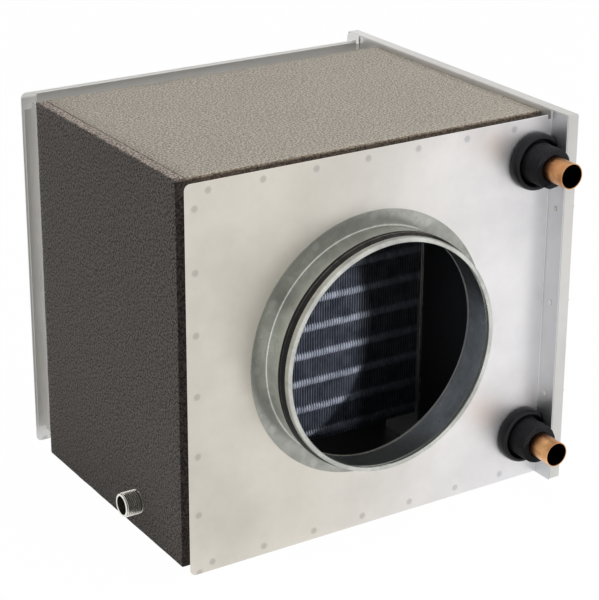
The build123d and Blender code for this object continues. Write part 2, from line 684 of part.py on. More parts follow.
with BuildPart() as outlet_pipe_sleeve:
    with Locations((STUB_X, FRONT, OUTLET_Z)):
        add(pipe_sleeve.part)

with BuildPart() as inlet_pipe_sleeve:
    with Locations((STUB_X, FRONT, INLET_Z)):
        add(pipe_sleeve.part)

# Drip tray: an open pan on the casing's floor, with a tall end for the drain nipple
with BuildPart() as drip_tray:
    with Locations((INNER_LEFT, TRAY_FRONT, INNER_BOTTOM)):
        Box(TRAY_RIGHT - INNER_LEFT, TRAY_LENGTH, TRAY_WALL_H, align=CORNER)
    low_edges = drip_tray.edges().filter_by(Axis.Y).group_by(Axis.Z)[0]
    fillet(low_edges, radius=CASE_BEND_R + TRAY_CORNER_GAP)
    with Locations((INNER_LEFT + TRAY_T, TRAY_FRONT + TRAY_T, TRAY_FLOOR)):
        Box(
            TRAY_RIGHT - INNER_LEFT - 2 * TRAY_T,
            TRAY_LENGTH - 2 * TRAY_T,
            TRAY_WALL_H,
            align=CORNER,
            mode=Mode.SUBTRACT,
        )
    with Locations((INNER_LEFT, TRAY_FRONT, TRAY_TOP)):
        Box(TRAY_T, TRAY_LENGTH, TRAY_END_H - TRAY_WALL_H, align=CORNER)
    with BuildSketch(at_x(INNER_LEFT)):
        with Locations((NIPPLE_Y, NIPPLE_Z)):
            Circle(SHANK_HOLE_R)
    extrude(amount=TRAY_T, mode=Mode.SUBTRACT)

# Drain nipple: threaded outside, clamped through the casing and the tray by its locknut
NIPPLE_TIP = LEFT - THREAD_L
NUT_SEAT = INNER_LEFT + TRAY_T + GASKET_T
THREAD_TURNS = floor((THREAD_L - THREAD_PITCH) / THREAD_PITCH)
nipple_axis = Axis((0, NIPPLE_Y, NIPPLE_Z), (1, 0, 0))
with BuildPart() as drain_nipple:
    with BuildSketch(at_x(NIPPLE_TIP)):
        with Locations((NIPPLE_Y, NIPPLE_Z)):
            Circle(THREAD_R)
    extrude(amount=THREAD_L)
    chamfer(drain_nipple.edges().filter_by(GeomType.CIRCLE).sort_by(Axis.X)[0], length=THREAD_LEAD)
    with BuildSketch(at_y(NIPPLE_Y)):
        groove_half = (THREAD_PITCH - THREAD_CREST_W) / 2
        with Locations(
            *[(NIPPLE_TIP + (k + 1) * THREAD_PITCH, NIPPLE_Z + THREAD_R) for k in range(THREAD_TURNS)]
        ):
            Polygon((-groove_half, 0), (0, -THREAD_DEPTH), (groove_half, 0), align=None)
    revolve(axis=nipple_axis, mode=Mode.SUBTRACT)
    with BuildSketch(at_x(LEFT)):
        with Locations((NIPPLE_Y, NIPPLE_Z)):
            Circle(SHANK_R)
    extrude(amount=CASE_INSET + CASE_T + SHANK_INSIDE)
    with BuildSketch(at_x(CASE_LEFT - SHOULDER_T)):
        with Locations((NIPPLE_Y, NIPPLE_Z)):
            Circle(SHOULDER_R)
    extrude(amount=SHOULDER_T)
    with BuildSketch(at_x(NIPPLE_TIP)):
        with Locations((NIPPLE_Y, NIPPLE_Z)):
            Circle(NIPPLE_BORE_R)
    extrude(amount=THREAD_L + CASE_INSET + CASE_T + SHANK_INSIDE, mode=Mode.SUBTRACT)

with BuildPart() as drain_gasket:
    with BuildSketch(at_x(INNER_LEFT + TRAY_T)):
        with Locations((NIPPLE_Y, NIPPLE_Z)):
            Circle(GASKET_R)
            Circle(SHANK_HOLE_R, mode=Mode.SUBTRACT)
    extrude(amount=GASKET_T)

with BuildPart() as drain_locknut:
    with BuildSketch(at_x(NUT_SEAT)):
        with Locations((NIPPLE_Y, NIPPLE_Z)):
            RegularPolygon(LOCKNUT_HEX / 2, 6, major_radius=False, rotation=30)
            Circle(SHANK_HOLE_R, mode=Mode.SUBTRACT)
    extrude(amount=LOCKNUT_T)

# Top baffle: closes the gap above the fins
with BuildPart() as top_baffle:
    baffle_left = COIL_LEFT - 2 * COIL_SCREW_IN
    baffle_right = COIL_RIGHT + SHEET_RIGHT_FLANGE - SHEET_T
    with Locations((baffle_left, SHEET_FRONT - BAFFLE_T, FIN_TOP)):
        Box(baffle_right - baffle_left, BAFFLE_T, INNER_TOP - FIN_TOP, align=CORNER)
    with BuildSketch(at_y(SHEET_FRONT - BAFFLE_T)):
        with Locations(*TOP_SCREWS):
            Circle(SCREW_HOLE_R)
    extrude(amount=-BAFFLE_T, mode=Mode.SUBTRACT)

# Partition: keeps the air out of the pipe space, with a foot on the tube sheet's flange
with BuildPart() as plenum_partition:
    partition_low = TRAY_TOP + BAFFLE_EDGE_GAP
    with Locations((COIL_RIGHT, CASE_FRONT, partition_low)):
        Box(BAFFLE_T, SHEET_FRONT - BAFFLE_T - CASE_FRONT, INNER_TOP - partition_low, align=CORNER)
    with Locations((COIL_RIGHT, SHEET_FRONT - BAFFLE_T, partition_low)):
        Box(
            SHEET_RIGHT_FLANGE - SHEET_T,
            BAFFLE_T,
            FIN_TOP - BAFFLE_EDGE_GAP - partition_low,
            align=CORNER,
        )
    with BuildSketch(at_y(SHEET_FRONT - BAFFLE_T)):
        with Locations(*PARTITION_SCREWS):
            Circle(SCREW_HOLE_R)
    extrude(amount=-BAFFLE_T, mode=Mode.SUBTRACT)

with BuildPart() as coil_screws:
    with BuildSketch(at_y(SHEET_FRONT - BAFFLE_T)):
        with Locations(*TOP_SCREWS, *PARTITION_SCREWS):
            Circle(COIL_SCREW_R)
    extrude(amount=-(BAFFLE_T + SHEET_T + COIL_SCREW_TIP))
    with BuildSketch(at_y(SHEET_FRONT - BAFFLE_T)):
        with Locations(*TOP_SCREWS, *PARTITION_SCREWS):
            RegularPolygon(COIL_SCREW_HEX / 2, 6, major_radius=False)
    extrude(amount=COIL_SCREW_HEAD_H)

# Side cover: a shallow tray that closes the casing's open side
with BuildPart() as access_cover:
    with Locations((COVER_X, COVER_FRONT, BOTTOM)):
        Box(COVER_DEPTH, COVER_LENGTH, COVER_TOP - BOTTOM, align=CORNER)
    fillet(access_cover.edges().filter_by(Axis.X), radius=COVER_EDGE_R)
    fillet(access_cover.edges().group_by(Axis.X)[-1], radius=COVER_EDGE_R)
    with Locations((COVER_X, COVER_FRONT + COVER_T, BOTTOM + COVER_T)):
        Box(
            COVER_DEPTH - COVER_T,
            COVER_LENGTH - 2 * COVER_T,
            COVER_TOP - BOTTOM - 2 * COVER_T,
            align=CORNER,
            mode=Mode.SUBTRACT,
        )
    with BuildSketch(at_x(COVER_FACE - COVER_T)):
        with Locations(*[(y, z) for y in COVER_SCREW_YS for z in COVER_SCREW_ZS]):
            Circle(COVER_SCREW_R + COVER_SCREW_GAP)
    extrude(amount=COVER_T, mode=Mode.SUBTRACT)

with BuildPart() as cover_insulation:
    margin = COVER_T + LINING_GAP
    with Locations((COVER_FACE - COVER_T - LINING_T, COVER_FRONT + margin, BOTTOM + margin)):
        Box(LINING_T, COVER_LENGTH - 2 * margin, COVER_TOP - BOTTOM - 2 * margin, align=CORNER)
    with BuildSketch(at_x(COVER_FACE - COVER_T - LINING_T)):
        with Locations(*[(y, z) for y in COVER_SCREW_YS for z in COVER_SCREW_ZS]):
            Circle(COVER_SCREW_R + LINING_HOLE_GAP)
    extrude(amount=LINING_T, mode=Mode.SUBTRACT)

# Cover screws: hexagon heads on washers, through the cover and into the plates' flanges
with BuildPart() as cover_screw:
    with BuildSketch(at_x(0)):
        Circle(COVER_SCREW_R)
    extrude(amount=-(COVER_FACE - RIGHT + PLATE_T + COVER_SCREW_TIP))
    with BuildSketch(at_x(0)):
        Circle(COVER_SCREW_WASHER_R)
    extrude(amount=COVER_SCREW_WASHER_T)
    with BuildSketch(at_x(COVER_SCREW_WASHER_T)):
        RegularPolygon(COVER_SCREW_HEX / 2, 6, major_radius=False)
    extrude(amount=COVER_SCREW_HEAD_H)

with BuildPart() as cover_screws:
    with Locations(*[(COVER_FACE, y, z) for y in COVER_SCREW_YS for z in COVER_SCREW_ZS]):
        add(cover_screw.part)

front_plate.part.label = "front_plate"
rear_plate.part.label = "rear_plate"
casing_wrap.part.label = "casing_wrap"
insulation_left.part.label = "insulation_left"
insulation_top.part.label = "insulation_top"
insulation_bottom.part.label = "insulation_bottom"
front_spigot.part.label = "front_spigot"
rear_spigot.part.label = "rear_spigot"
front_lip_seal.part.label = "front_lip_seal"
rear_lip_seal.part.label = "rear_lip_seal"
fin_pack.part.label = "fin_pack"
tube_sheet_left.part.label = "tube_sheet_left"
tube_sheet_right.part.label = "tube_sheet_right"
coil_hairpins.part.label = "coil_hairpins"
return_bends.part.label = "return_bends"
feeder_tubes.part.label = "feeder_tubes"
outlet_header.part.label = "outlet_header"
inlet_header.part.label = "inlet_header"
header_caps.part.label = "header_caps"
air_vent_screw.part.label = "air_vent_screw"
drain_screw.part.label = "drain_screw"
outlet_grommet.part.label = "outlet_grommet"
inlet_grommet.part.label = "inlet_grommet"
outlet_pipe_sleeve.part.label = "outlet_pipe_sleeve"
inlet_pipe_sleeve.part.label = "inlet_pipe_sleeve"
drip_tray.part.label = "drip_tray"
drain_nipple.part.label = "drain_nipple"
drain_gasket.part.label = "drain_gasket"
drain_locknut.part.label = "drain_locknut"
top_baffle.part.label = "top_baffle"
plenum_partition.part.label = "plenum_partition"
coil_screws.part.label = "coil_screws"
access_cover.part.label = "access_cover"
cover_insulation.part.label = "cover_insulation"
cover_screws.part.label = "cover_screws"

export_step(front_plate.part, "parts/front_plate.step")
export_step(rear_plate.part, "parts/rear_plate.step")
export_step(casing_wrap.part, "parts/casing_wrap.step")
export_step(insulation_left.part, "parts/insulation_left.step")
export_step(insulation_top.part, "parts/insulation_top.step")
export_step(insulation_bottom.part, "parts/insulation_bottom.step")
export_step(front_spigot.part, "parts/front_spigot.step")
export_step(rear_spigot.part, "parts/rear_spigot.step")
export_step(front_lip_seal.part, "parts/front_lip_seal.step")
export_step(rear_lip_seal.part, "parts/rear_lip_seal.step")
export_step(fin_pack.part, "parts/fin_pack.step")
export_step(tube_sheet_left.part, "parts/tube_sheet_left.step")
export_step(tube_sheet_right.part, "parts/tube_sheet_right.step")
export_step(coil_hairpins.part, "parts/coil_hairpins.step")
export_step(return_bends.part, "parts/return_bends.step")
export_step(feeder_tubes.part, "parts/feeder_tubes.step")
export_step(outlet_header.part, "parts/outlet_header.step")
export_step(inlet_header.part, "parts/inlet_header.step")
export_step(header_caps.part, "parts/header_caps.step")
export_step(air_vent_screw.part, "parts/air_vent_screw.step")
export_step(drain_screw.part, "parts/drain_screw.step")
export_step(outlet_grommet.part, "parts/outlet_grommet.step")
export_step(inlet_grommet.part, "parts/inlet_grommet.step")
export_step(outlet_pipe_sleeve.part, "parts/outlet_pipe_sleeve.step")
export_step(inlet_pipe_sleeve.part, "parts/inlet_pipe_sleeve.step")
export_step(drip_tray.part, "parts/drip_tray.step")
export_step(drain_nipple.part, "parts/drain_nipple.step")
export_step(drain_gasket.part, "parts/drain_gasket.step")
export_step(drain_locknut.part, "parts/drain_locknut.step")
export_step(top_baffle.part, "parts/top_baffle.step")
export_step(plenum_partition.part, "parts/plenum_partition.step")
export_step(coil_screws.part, "parts/coil_screws.step")
export_step(access_cover.part, "parts/access_cover.step")
export_step(cover_insulation.part, "parts/cover_insulation.step")
export_step(cover_screws.part, "parts/cover_screws.step")
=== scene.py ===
# %% [markdown]
# # A chilled water duct coil
# The object is an insulated steel box with a round spigot at each end, a finned copper coil
# inside and two copper connections in front. The solids come packed as a fixed frame, so this
# script gives them their finishes and adds the small things that a solid model leaves plain.

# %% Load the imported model
import json
import math

import bpy
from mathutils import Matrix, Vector


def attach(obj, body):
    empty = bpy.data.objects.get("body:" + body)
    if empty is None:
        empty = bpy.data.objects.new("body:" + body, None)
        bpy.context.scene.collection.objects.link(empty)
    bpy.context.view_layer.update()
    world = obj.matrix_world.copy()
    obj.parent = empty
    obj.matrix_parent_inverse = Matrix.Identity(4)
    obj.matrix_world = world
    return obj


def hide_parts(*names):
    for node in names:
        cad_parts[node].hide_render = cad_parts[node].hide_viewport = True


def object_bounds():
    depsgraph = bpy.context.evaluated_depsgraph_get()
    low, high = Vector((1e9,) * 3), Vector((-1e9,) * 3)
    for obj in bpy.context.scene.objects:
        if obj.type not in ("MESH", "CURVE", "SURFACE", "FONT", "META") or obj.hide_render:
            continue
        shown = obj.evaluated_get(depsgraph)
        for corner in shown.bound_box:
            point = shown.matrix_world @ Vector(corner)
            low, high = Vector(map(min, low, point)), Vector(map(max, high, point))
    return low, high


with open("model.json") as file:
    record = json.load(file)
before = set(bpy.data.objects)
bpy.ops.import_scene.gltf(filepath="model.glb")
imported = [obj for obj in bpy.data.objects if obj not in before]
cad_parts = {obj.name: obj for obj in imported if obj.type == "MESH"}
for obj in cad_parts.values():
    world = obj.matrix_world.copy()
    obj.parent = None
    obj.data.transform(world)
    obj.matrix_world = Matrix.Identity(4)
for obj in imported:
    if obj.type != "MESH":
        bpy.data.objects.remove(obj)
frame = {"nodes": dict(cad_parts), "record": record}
nodes = frame["nodes"]
cad_low, cad_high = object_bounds()
MM = 0.001
print("nodes:", len(nodes), "size in mm:", [round(v / MM) for v in cad_high - cad_low])

# %% [markdown]
# The camera comes first, because every later choice is judged through it. Its place and lens
# were worked out from the box's straight edges. The shift slides the picture without turning the
# camera, which would change how the uprights lean together.

# %% Camera
CAMERA_PLACE = (-0.8400, -1.2117, 0.6386)
CAMERA_TURN = (69.546, -0.250, -32.336)
LENS = 118.44
SENSOR_WIDTH = 36.0
SHIFT_UP = -0.1
FARTHEST_SEEN = 30.0
camera_data = bpy.data.cameras.new("view_camera")
camera_data.sensor_width = SENSOR_WIDTH
camera_data.lens = LENS
camera_data.shift_y = SHIFT_UP
camera_data.clip_end = FARTHEST_SEEN
camera = bpy.data.objects.new("view_camera", camera_data)
bpy.context.scene.collection.objects.link(camera)
camera.location = CAMERA_PLACE
camera.rotation_euler = [math.radians(a) for a in CAMERA_TURN]
bpy.context.scene.camera = camera
bpy.context.scene.view_settings.view_transform = "Standard"
bpy.context.scene.view_settings.look = "None"
print("lens:", camera_data.lens)


# %% [markdown]
# Shader nodes are joined socket by socket, which soon fills a script. Two helpers keep it short:
# one puts a value or a link into a socket, and one places a sum and hands back its result.

# %% Helpers: fill a socket, work out a value
def put(tree, socket, value):
    """Gives a socket a plain value, or a link where the value is a socket itself."""
    if isinstance(value, bpy.types.NodeSocket):
        tree.links.new(value, socket)
    else:
        socket.default_value = value


def calc(tree, operation, a, b=None, clamp=False):
    """The result of one sum on a and b."""
    node = tree.nodes.new("ShaderNodeMath")
    node.operation = operation
    node.use_clamp = clamp
    put(tree, node.inputs[0], a)
    if b is not None:
        put(tree, node.inputs[1], b)
    return node.outputs[0]


def seen_or_mirrored(tree):
    """1 for what the camera sees directly or in a shiny surface, and 0 for scattered light."""
    rays = tree.nodes.new("ShaderNodeLightPath")
    return calc(tree, "MAXIMUM", rays.outputs["Is Camera Ray"], rays.outputs["Is Glossy Ray"])


# %% [markdown]
# Bare metal shows what stands round it. The world is plain white where it is seen or mirrored,
# as a white studio is. Its scattered light is dim and a little blue, so that the lamps and not
# the world shape the box.

# %% World
SCATTERED_COLOUR = (0.85, 0.9, 1.0, 1.0)
SCATTERED_STRENGTH = 0.145
WHITE = (1.0, 1.0, 1.0, 1.0)
world = bpy.data.worlds.new("studio_world")
world.use_nodes = True
bpy.context.scene.world = world
tree = world.node_tree
tree.nodes.clear()
out = tree.nodes.new("ShaderNodeOutputWorld")
dim = tree.nodes.new("ShaderNodeBackground")
dim.inputs["Color"].default_value = SCATTERED_COLOUR
dim.inputs["Strength"].default_value = SCATTERED_STRENGTH
bright = tree.nodes.new("ShaderNodeBackground")
bright.inputs["Color"].default_value = WHITE
bright.inputs["Strength"].default_value = 1.0
both = tree.nodes.new("ShaderNodeMixShader")
put(tree, both.inputs[0], seen_or_mirrored(tree))
put(tree, both.inputs[1], dim.outputs[0])
put(tree, both.inputs[2], bright.outputs[0])
put(tree, out.inputs[0], both.outputs[0])
print("world:", world.name)


# %% [markdown]
# Two lamps light the box. The key hangs above it and lights the top foam. A small one stands far
# out in front and shines through the spigot, and because it is small, the patch that it lights on
# the fins has a clear edge. Both stay out of mirrors, where they would leave square glints.

# %% Lights
def area_light(name, place, target, size, watts, colour=(1, 1, 1)):
    data = bpy.data.lights.new(name, "AREA")
    data.shape = "SQUARE"
    data.size = size
    data.energy = watts
    data.color = colour
    lamp = bpy.data.objects.new(name, data)
    bpy.context.scene.collection.objects.link(lamp)
    lamp.location = place
    lamp.rotation_euler = (Vector(target) - Vector(place)).to_track_quat("-Z", "Y").to_euler()
    lamp.visible_glossy = False
    return lamp


key_light = area_light("key_light", (0.35, -0.25, 2.3), (0, 0.15, 0), 1.2, 43, (1.0, 0.98, 0.95))
front_light = area_light("front_light", (1.0, -2.5, 0.52), (0, 0, 0), 0.12, 60)
print("lamps:", key_light.data.energy, "W and", front_light.data.energy, "W")

# %% [markdown]
# The ground is plain and pale. To the camera it glows almost white, so no shadow edge shows in the
# picture. To scattered light it is a mid grey, so it doesn't flood the box's lower edges.

# %% Floor
FLOOR_SIZE = 12
FLOOR_GAP = 0.5 * MM
FLOOR_GREY = (0.3, 0.3, 0.3, 1)
FLOOR_GLOW = 1.02
GLOW_SHARE = 0.97
bpy.ops.mesh.primitive_plane_add(size=FLOOR_SIZE, location=(0, 0, cad_low.z - FLOOR_GAP))
floor = bpy.context.object
floor.name = "studio_floor"
floor_paint = bpy.data.materials.new("pale_floor")
floor_paint.use_nodes = True
tree = floor_paint.node_tree
shader = tree.nodes["Principled BSDF"]
shader.inputs["Base Color"].default_value = FLOOR_GREY
shader.inputs["Roughness"].default_value = 1.0
glow = tree.nodes.new("ShaderNodeEmission")
glow.inputs["Strength"].default_value = FLOOR_GLOW
both = tree.nodes.new("ShaderNodeMixShader")
put(tree, both.inputs[0], calc(tree, "MULTIPLY", seen_or_mirrored(tree), GLOW_SHARE))
put(tree, both.inputs[1], shader.outputs[0])
put(tree, both.inputs[2], glow.outputs[0])
put(tree, tree.nodes["Material Output"].inputs["Surface"], both.outputs[0])
floor.data.materials.append(floor_paint)
print("floor at mm:", round(floor.location.z / MM, 1))


# %% [markdown]
# ## Finishes
# Every finish is procedural and reads Object coordinates, so a pattern stays with its piece.
# Effects that several finishes share are node groups, built once and placed with other values.
# The helpers below each place one or two nodes and hand back the socket that matters.

# %% Helpers for patterns and masks
def new_group(name, inputs, outputs):
    """An empty shader node group with its named sockets."""
    group = bpy.data.node_groups.new(name, "ShaderNodeTree")
    for title, kind, value in inputs:
        socket = group.interface.new_socket(title, in_out="INPUT", socket_type=kind)
        socket.default_value = value
    for title, kind in outputs:
        group.interface.new_socket(title, in_out="OUTPUT", socket_type=kind)
    source = group.nodes.new("NodeGroupInput")
    sink = group.nodes.new("NodeGroupOutput")
    return group, source.outputs, sink.inputs


def place_group(tree, group, values):
    """Places a group in a material or another group and fills its inputs by their titles."""
    node = tree.nodes.new("ShaderNodeGroup")
    node.node_tree = group
    for title, value in values.items():
        put(tree, node.inputs[title], value)
    return node.outputs


def object_place(tree):
    place = tree.nodes.new("ShaderNodeTexCoord")
    return place.outputs["Object"]


def object_axes(tree):
    """Object coordinates split into X, Y and Z."""
    split = tree.nodes.new("ShaderNodeSeparateXYZ")
    put(tree, split.inputs[0], object_place(tree))
    return split.outputs


def noise(tree, place, scale, detail, rough=0.5):
    node = tree.nodes.new("ShaderNodeTexNoise")
    put(tree, node.inputs["Vector"], place)
    put(tree, node.inputs["Scale"], scale)
    node.inputs["Detail"].default_value = detail
    node.inputs["Roughness"].default_value = rough
    return node.outputs["Fac"]


def ramp(tree, value, low, high, smooth=False):
    """Turns values from low to high into 0 to 1."""
    node = tree.nodes.new("ShaderNodeMapRange")
    node.interpolation_type = "SMOOTHSTEP" if smooth else "LINEAR"
    put(tree, node.inputs["Value"], value)
    put(tree, node.inputs["From Min"], low)
    put(tree, node.inputs["From Max"], high)
    return node.outputs[0]


def distance(tree, a, b):
    """How far a point is from zero, when a and b are its two measures."""
    pair = tree.nodes.new("ShaderNodeCombineXYZ")
    put(tree, pair.inputs[0], a)
    put(tree, pair.inputs[1], b)
    far = tree.nodes.new("ShaderNodeVectorMath")
    far.operation = "LENGTH"
    put(tree, far.inputs[0], pair.outputs[0])
    return far.outputs["Value"]


# %% [markdown]
# Blender's Mix node holds the sockets of all its kinds at once, so they are reached by number.
# Values use inputs 2 and 3, and colours use 6 and 7.

# %% Helpers for blending
def mix_values(tree, share, a, b):
    """a where the share is 0, and b where it is 1."""
    node = tree.nodes.new("ShaderNodeMix")
    node.data_type = "FLOAT"
    put(tree, node.inputs[0], share)
    put(tree, node.inputs[2], a)
    put(tree, node.inputs[3], b)
    return node.outputs[0]


def mix_colours(tree, share, a, b, blend="MIX"):
    """Colour a where the share is 0, and colour b over it where the share is 1."""
    node = tree.nodes.new("ShaderNodeMix")
    node.data_type = "RGBA"
    node.blend_type = blend
    put(tree, node.inputs[0], share)
    put(tree, node.inputs[6], a)
    put(tree, node.inputs[7], b)
    return node.outputs[2]


# %% [markdown]
# Zinc-coated sheet is never one grey. It has broad warm and cool clouds and faint crystals called
# spangle, and it is a little shinier where it is lighter. One group mixes these into two nearby
# tones, and copper, brass and aluminium use it with other tones.

# %% Node group: mottled metal
CLOUD_EDGES = (0.35, 0.65)
FINE_SCALE = 700.0


def build_mottle():
    group, source, sink = new_group(
        "mottled_metal",
        [
            ("Light", "NodeSocketColor", (0.7, 0.7, 0.7, 1)),
            ("Dark", "NodeSocketColor", (0.5, 0.5, 0.5, 1)),
            ("Cloud Scale", "NodeSocketFloat", 9.0),
            ("Spangle Scale", "NodeSocketFloat", 160.0),
            ("Spangle", "NodeSocketFloat", 0.15),
            ("Rough Low", "NodeSocketFloat", 0.35),
            ("Rough High", "NodeSocketFloat", 0.5),
        ],
        [("Colour", "NodeSocketColor"), ("Roughness", "NodeSocketFloat"), ("Height", "NodeSocketFloat")],
    )
    place = object_place(group)
    cloud = noise(group, place, source["Cloud Scale"], 4.0, 0.55)
    crystal = group.nodes.new("ShaderNodeTexVoronoi")
    put(group, crystal.inputs["Vector"], place)
    put(group, crystal.inputs["Scale"], source["Spangle Scale"])
    split = group.nodes.new("ShaderNodeSeparateColor")
    put(group, split.inputs[0], crystal.outputs["Color"])
    spread = ramp(group, cloud, *CLOUD_EDGES, smooth=True)
    share = mix_values(group, source["Spangle"], spread, split.outputs[0])
    put(group, sink["Colour"], mix_colours(group, share, source["Dark"], source["Light"]))
    put(group, sink["Roughness"], mix_values(group, share, source["Rough High"], source["Rough Low"]))
    put(group, sink["Height"], noise(group, place, FINE_SCALE, 2.0))
    return group


mottle = build_mottle()
print("group:", mottle.name, "nodes:", len(mottle.nodes))


# %% [markdown]
# Foam and cut rubber need a fine two-tone grain with a little relief. The group gives a speckled
# colour and the height that feeds a bump.

# %% Node group: speckle
def build_speckle():
    group, source, sink = new_group(
        "speckle",
        [
            ("Light", "NodeSocketColor", (0.3, 0.3, 0.3, 1)),
            ("Dark", "NodeSocketColor", (0.1, 0.1, 0.1, 1)),
            ("Grain Scale", "NodeSocketFloat", 900.0),
            ("Contrast", "NodeSocketFloat", 0.12),
            ("Patch Scale", "NodeSocketFloat", 14.0),
            ("Patch", "NodeSocketFloat", 0.25),
        ],
        [("Colour", "NodeSocketColor"), ("Height", "NodeSocketFloat")],
    )
    place = object_place(group)
    grain = noise(group, place, source["Grain Scale"], 3.0, 0.7)
    patch = noise(group, place, source["Patch Scale"], 3.0)
    low = calc(group, "SUBTRACT", 0.5, source["Contrast"])
    high = calc(group, "ADD", 0.5, source["Contrast"])
    share = mix_values(group, source["Patch"], ramp(group, grain, low, high), patch)
    put(group, sink["Colour"], mix_colours(group, share, source["Dark"], source["Light"]))
    put(group, sink["Height"], grain)
    return group


speckle = build_speckle()
print("group:", speckle.name, "nodes:", len(speckle.nodes))

# %% [markdown]
# The plates are spot-welded to the casing's flanges, and the collars to the plates. Every weld
# leaves a soft oval. One group draws a straight row of them and one draws a ring, both as a mask
# between 0 and 1 that changes the zinc's tone a little and dents it.

# %% Node groups: weld marks in a row and in a ring
WELD_R = 4.2 * MM
COLLAR_WELD_R = 5.2 * MM
WELD_SHARPNESS = 1.8


def build_weld_row():
    group, source, sink = new_group(
        "weld_row",
        [
            ("Along", "NodeSocketFloat", 0.0),
            ("Across", "NodeSocketFloat", 0.0),
            ("Start", "NodeSocketFloat", 0.0),
            ("Pitch", "NodeSocketFloat", 0.049),
            ("Line", "NodeSocketFloat", 0.0),
            ("Size", "NodeSocketFloat", WELD_R),
        ],
        [("Mask", "NodeSocketFloat")],
    )
    from_start = calc(group, "SUBTRACT", source["Along"], source["Start"])
    steps = calc(group, "DIVIDE", from_start, source["Pitch"])
    apart = calc(group, "SUBTRACT", steps, calc(group, "ROUND", steps))
    along_row = calc(group, "MULTIPLY", apart, source["Pitch"])
    across_row = calc(group, "SUBTRACT", source["Across"], source["Line"])
    far = distance(group, along_row, across_row)
    fade = ramp(group, far, source["Size"], 0.0, smooth=True)
    put(group, sink["Mask"], calc(group, "MULTIPLY", fade, WELD_SHARPNESS, clamp=True))
    return group


weld_row = build_weld_row()


def build_weld_ring():
    group, source, sink = new_group(
        "weld_ring",
        [("Radius", "NodeSocketFloat", 0.1085), ("Count", "NodeSocketFloat", 12.0)],
        [("Mask", "NodeSocketFloat")],
    )
    axes = object_axes(group)
    angle = calc(group, "ARCTAN2", axes[2], axes[0])
    pitch = calc(group, "DIVIDE", 2 * math.pi, source["Count"])
    values = {
        "Size": COLLAR_WELD_R,
        "Along": calc(group, "MULTIPLY", angle, source["Radius"]),
        "Pitch": calc(group, "MULTIPLY", pitch, source["Radius"]),
        "Across": distance(group, axes[0], axes[2]),
        "Line": source["Radius"],
    }
    put(group, sink["Mask"], place_group(group, weld_row, values)["Mask"])
    return group


weld_ring = build_weld_ring()
print("weld groups:", weld_row.name, weld_ring.name)


# %% [markdown]
# A material is one Principled shader with a group in front of it. Two helpers make the two kinds
# that this object needs: bare metal, and foam or rubber.

# %% Materials from the groups
METAL_RELIEF = 0.2 * MM
GRAIN_RELIEF = 0.4 * MM


def start_material(name, metallic, roughness):
    material = bpy.data.materials.new(name)
    material.use_nodes = True
    tree = material.node_tree
    shader = tree.nodes["Principled BSDF"]
    shader.inputs["Metallic"].default_value = metallic
    shader.inputs["Roughness"].default_value = roughness
    return material, tree, shader


def add_bump(tree, shader, height, relief, strength):
    bump = tree.nodes.new("ShaderNodeBump")
    bump.inputs["Distance"].default_value = relief
    bump.inputs["Strength"].default_value = strength
    put(tree, bump.inputs["Height"], height)
    put(tree, shader.inputs["Normal"], bump.outputs["Normal"])


def metal(name, light, dark, rough, cloud=9.0, spangle_scale=160.0, spangle=0.15):
    """A mottled metal: light and dark are its two tones, rough its lowest and highest roughness."""
    material, tree, shader = start_material(name, 1.0, rough[0])
    values = {
        "Light": (*light, 1),
        "Dark": (*dark, 1),
        "Cloud Scale": cloud,
        "Spangle Scale": spangle_scale,
        "Spangle": spangle,
        "Rough Low": rough[0],
        "Rough High": rough[1],
    }
    surface = place_group(tree, mottle, values)
    put(tree, shader.inputs["Base Color"], surface["Colour"])
    put(tree, shader.inputs["Roughness"], surface["Roughness"])
    add_bump(tree, shader, surface["Height"], METAL_RELIEF, 0.02)
    return material


def grained(name, light, dark, roughness, grain=900.0, contrast=0.12, patch=0.25, bump=0.3, sheen=0.0):
    """A speckled foam or rubber."""
    material, tree, shader = start_material(name, 0.0, roughness)
    values = {
        "Light": (*light, 1),
        "Dark": (*dark, 1),
        "Grain Scale": grain,
        "Contrast": contrast,
        "Patch": patch,
    }
    surface = place_group(tree, speckle, values)
    shader.inputs["Sheen Weight"].default_value = sheen
    shader.inputs["Sheen Roughness"].default_value = 0.4
    put(tree, shader.inputs["Base Color"], surface["Colour"])
    add_bump(tree, shader, surface["Height"], GRAIN_RELIEF, bump)
    return material


def set_shader(material, title, value):
    material.node_tree.nodes["Principled BSDF"].inputs[title].default_value = value


# %% [markdown]
# Light falls unevenly on the real coil: deep inside the box nearly none does. A mask by place
# lets one material be darker there. The helpers lay a colour over the base colour, and a mask
# builder is a function that builds its nodes in the tree it is given.

# %% Helpers: colour by place
def colour_where(material, mask, colour, blend):
    tree = material.node_tree
    base_socket = tree.nodes["Principled BSDF"].inputs["Base Color"]
    base = base_socket.links[0].from_socket
    put(tree, base_socket, mix_colours(tree, mask, base, (*colour, 1), blend))


def tint(material, build_mask, colour):
    """Multiplies a material's colour where a mask is set."""
    colour_where(material, build_mask(material.node_tree), colour, "MULTIPLY")
    return material


def along(axis, low, high):
    """A mask that grows from low to high, in millimetres along one axis."""
    def build(tree):
        return ramp(tree, object_axes(tree)[axis], low * MM, high * MM, smooth=True)

    return build


def band(axis, low, high):
    """Set between two places in millimetres along one axis, with sharp ends."""
    def build(tree):
        place = object_axes(tree)[axis]
        after = calc(tree, "GREATER_THAN", place, low * MM)
        before = calc(tree, "LESS_THAN", place, high * MM)
        return calc(tree, "MULTIPLY", after, before)

    return build


# %% [markdown]
# Each plate has a row of weld marks down its left edge, one along the bottom and one along the
# top. A collar has a ring of twelve. The marks are a change of tone and a shallow dent together.

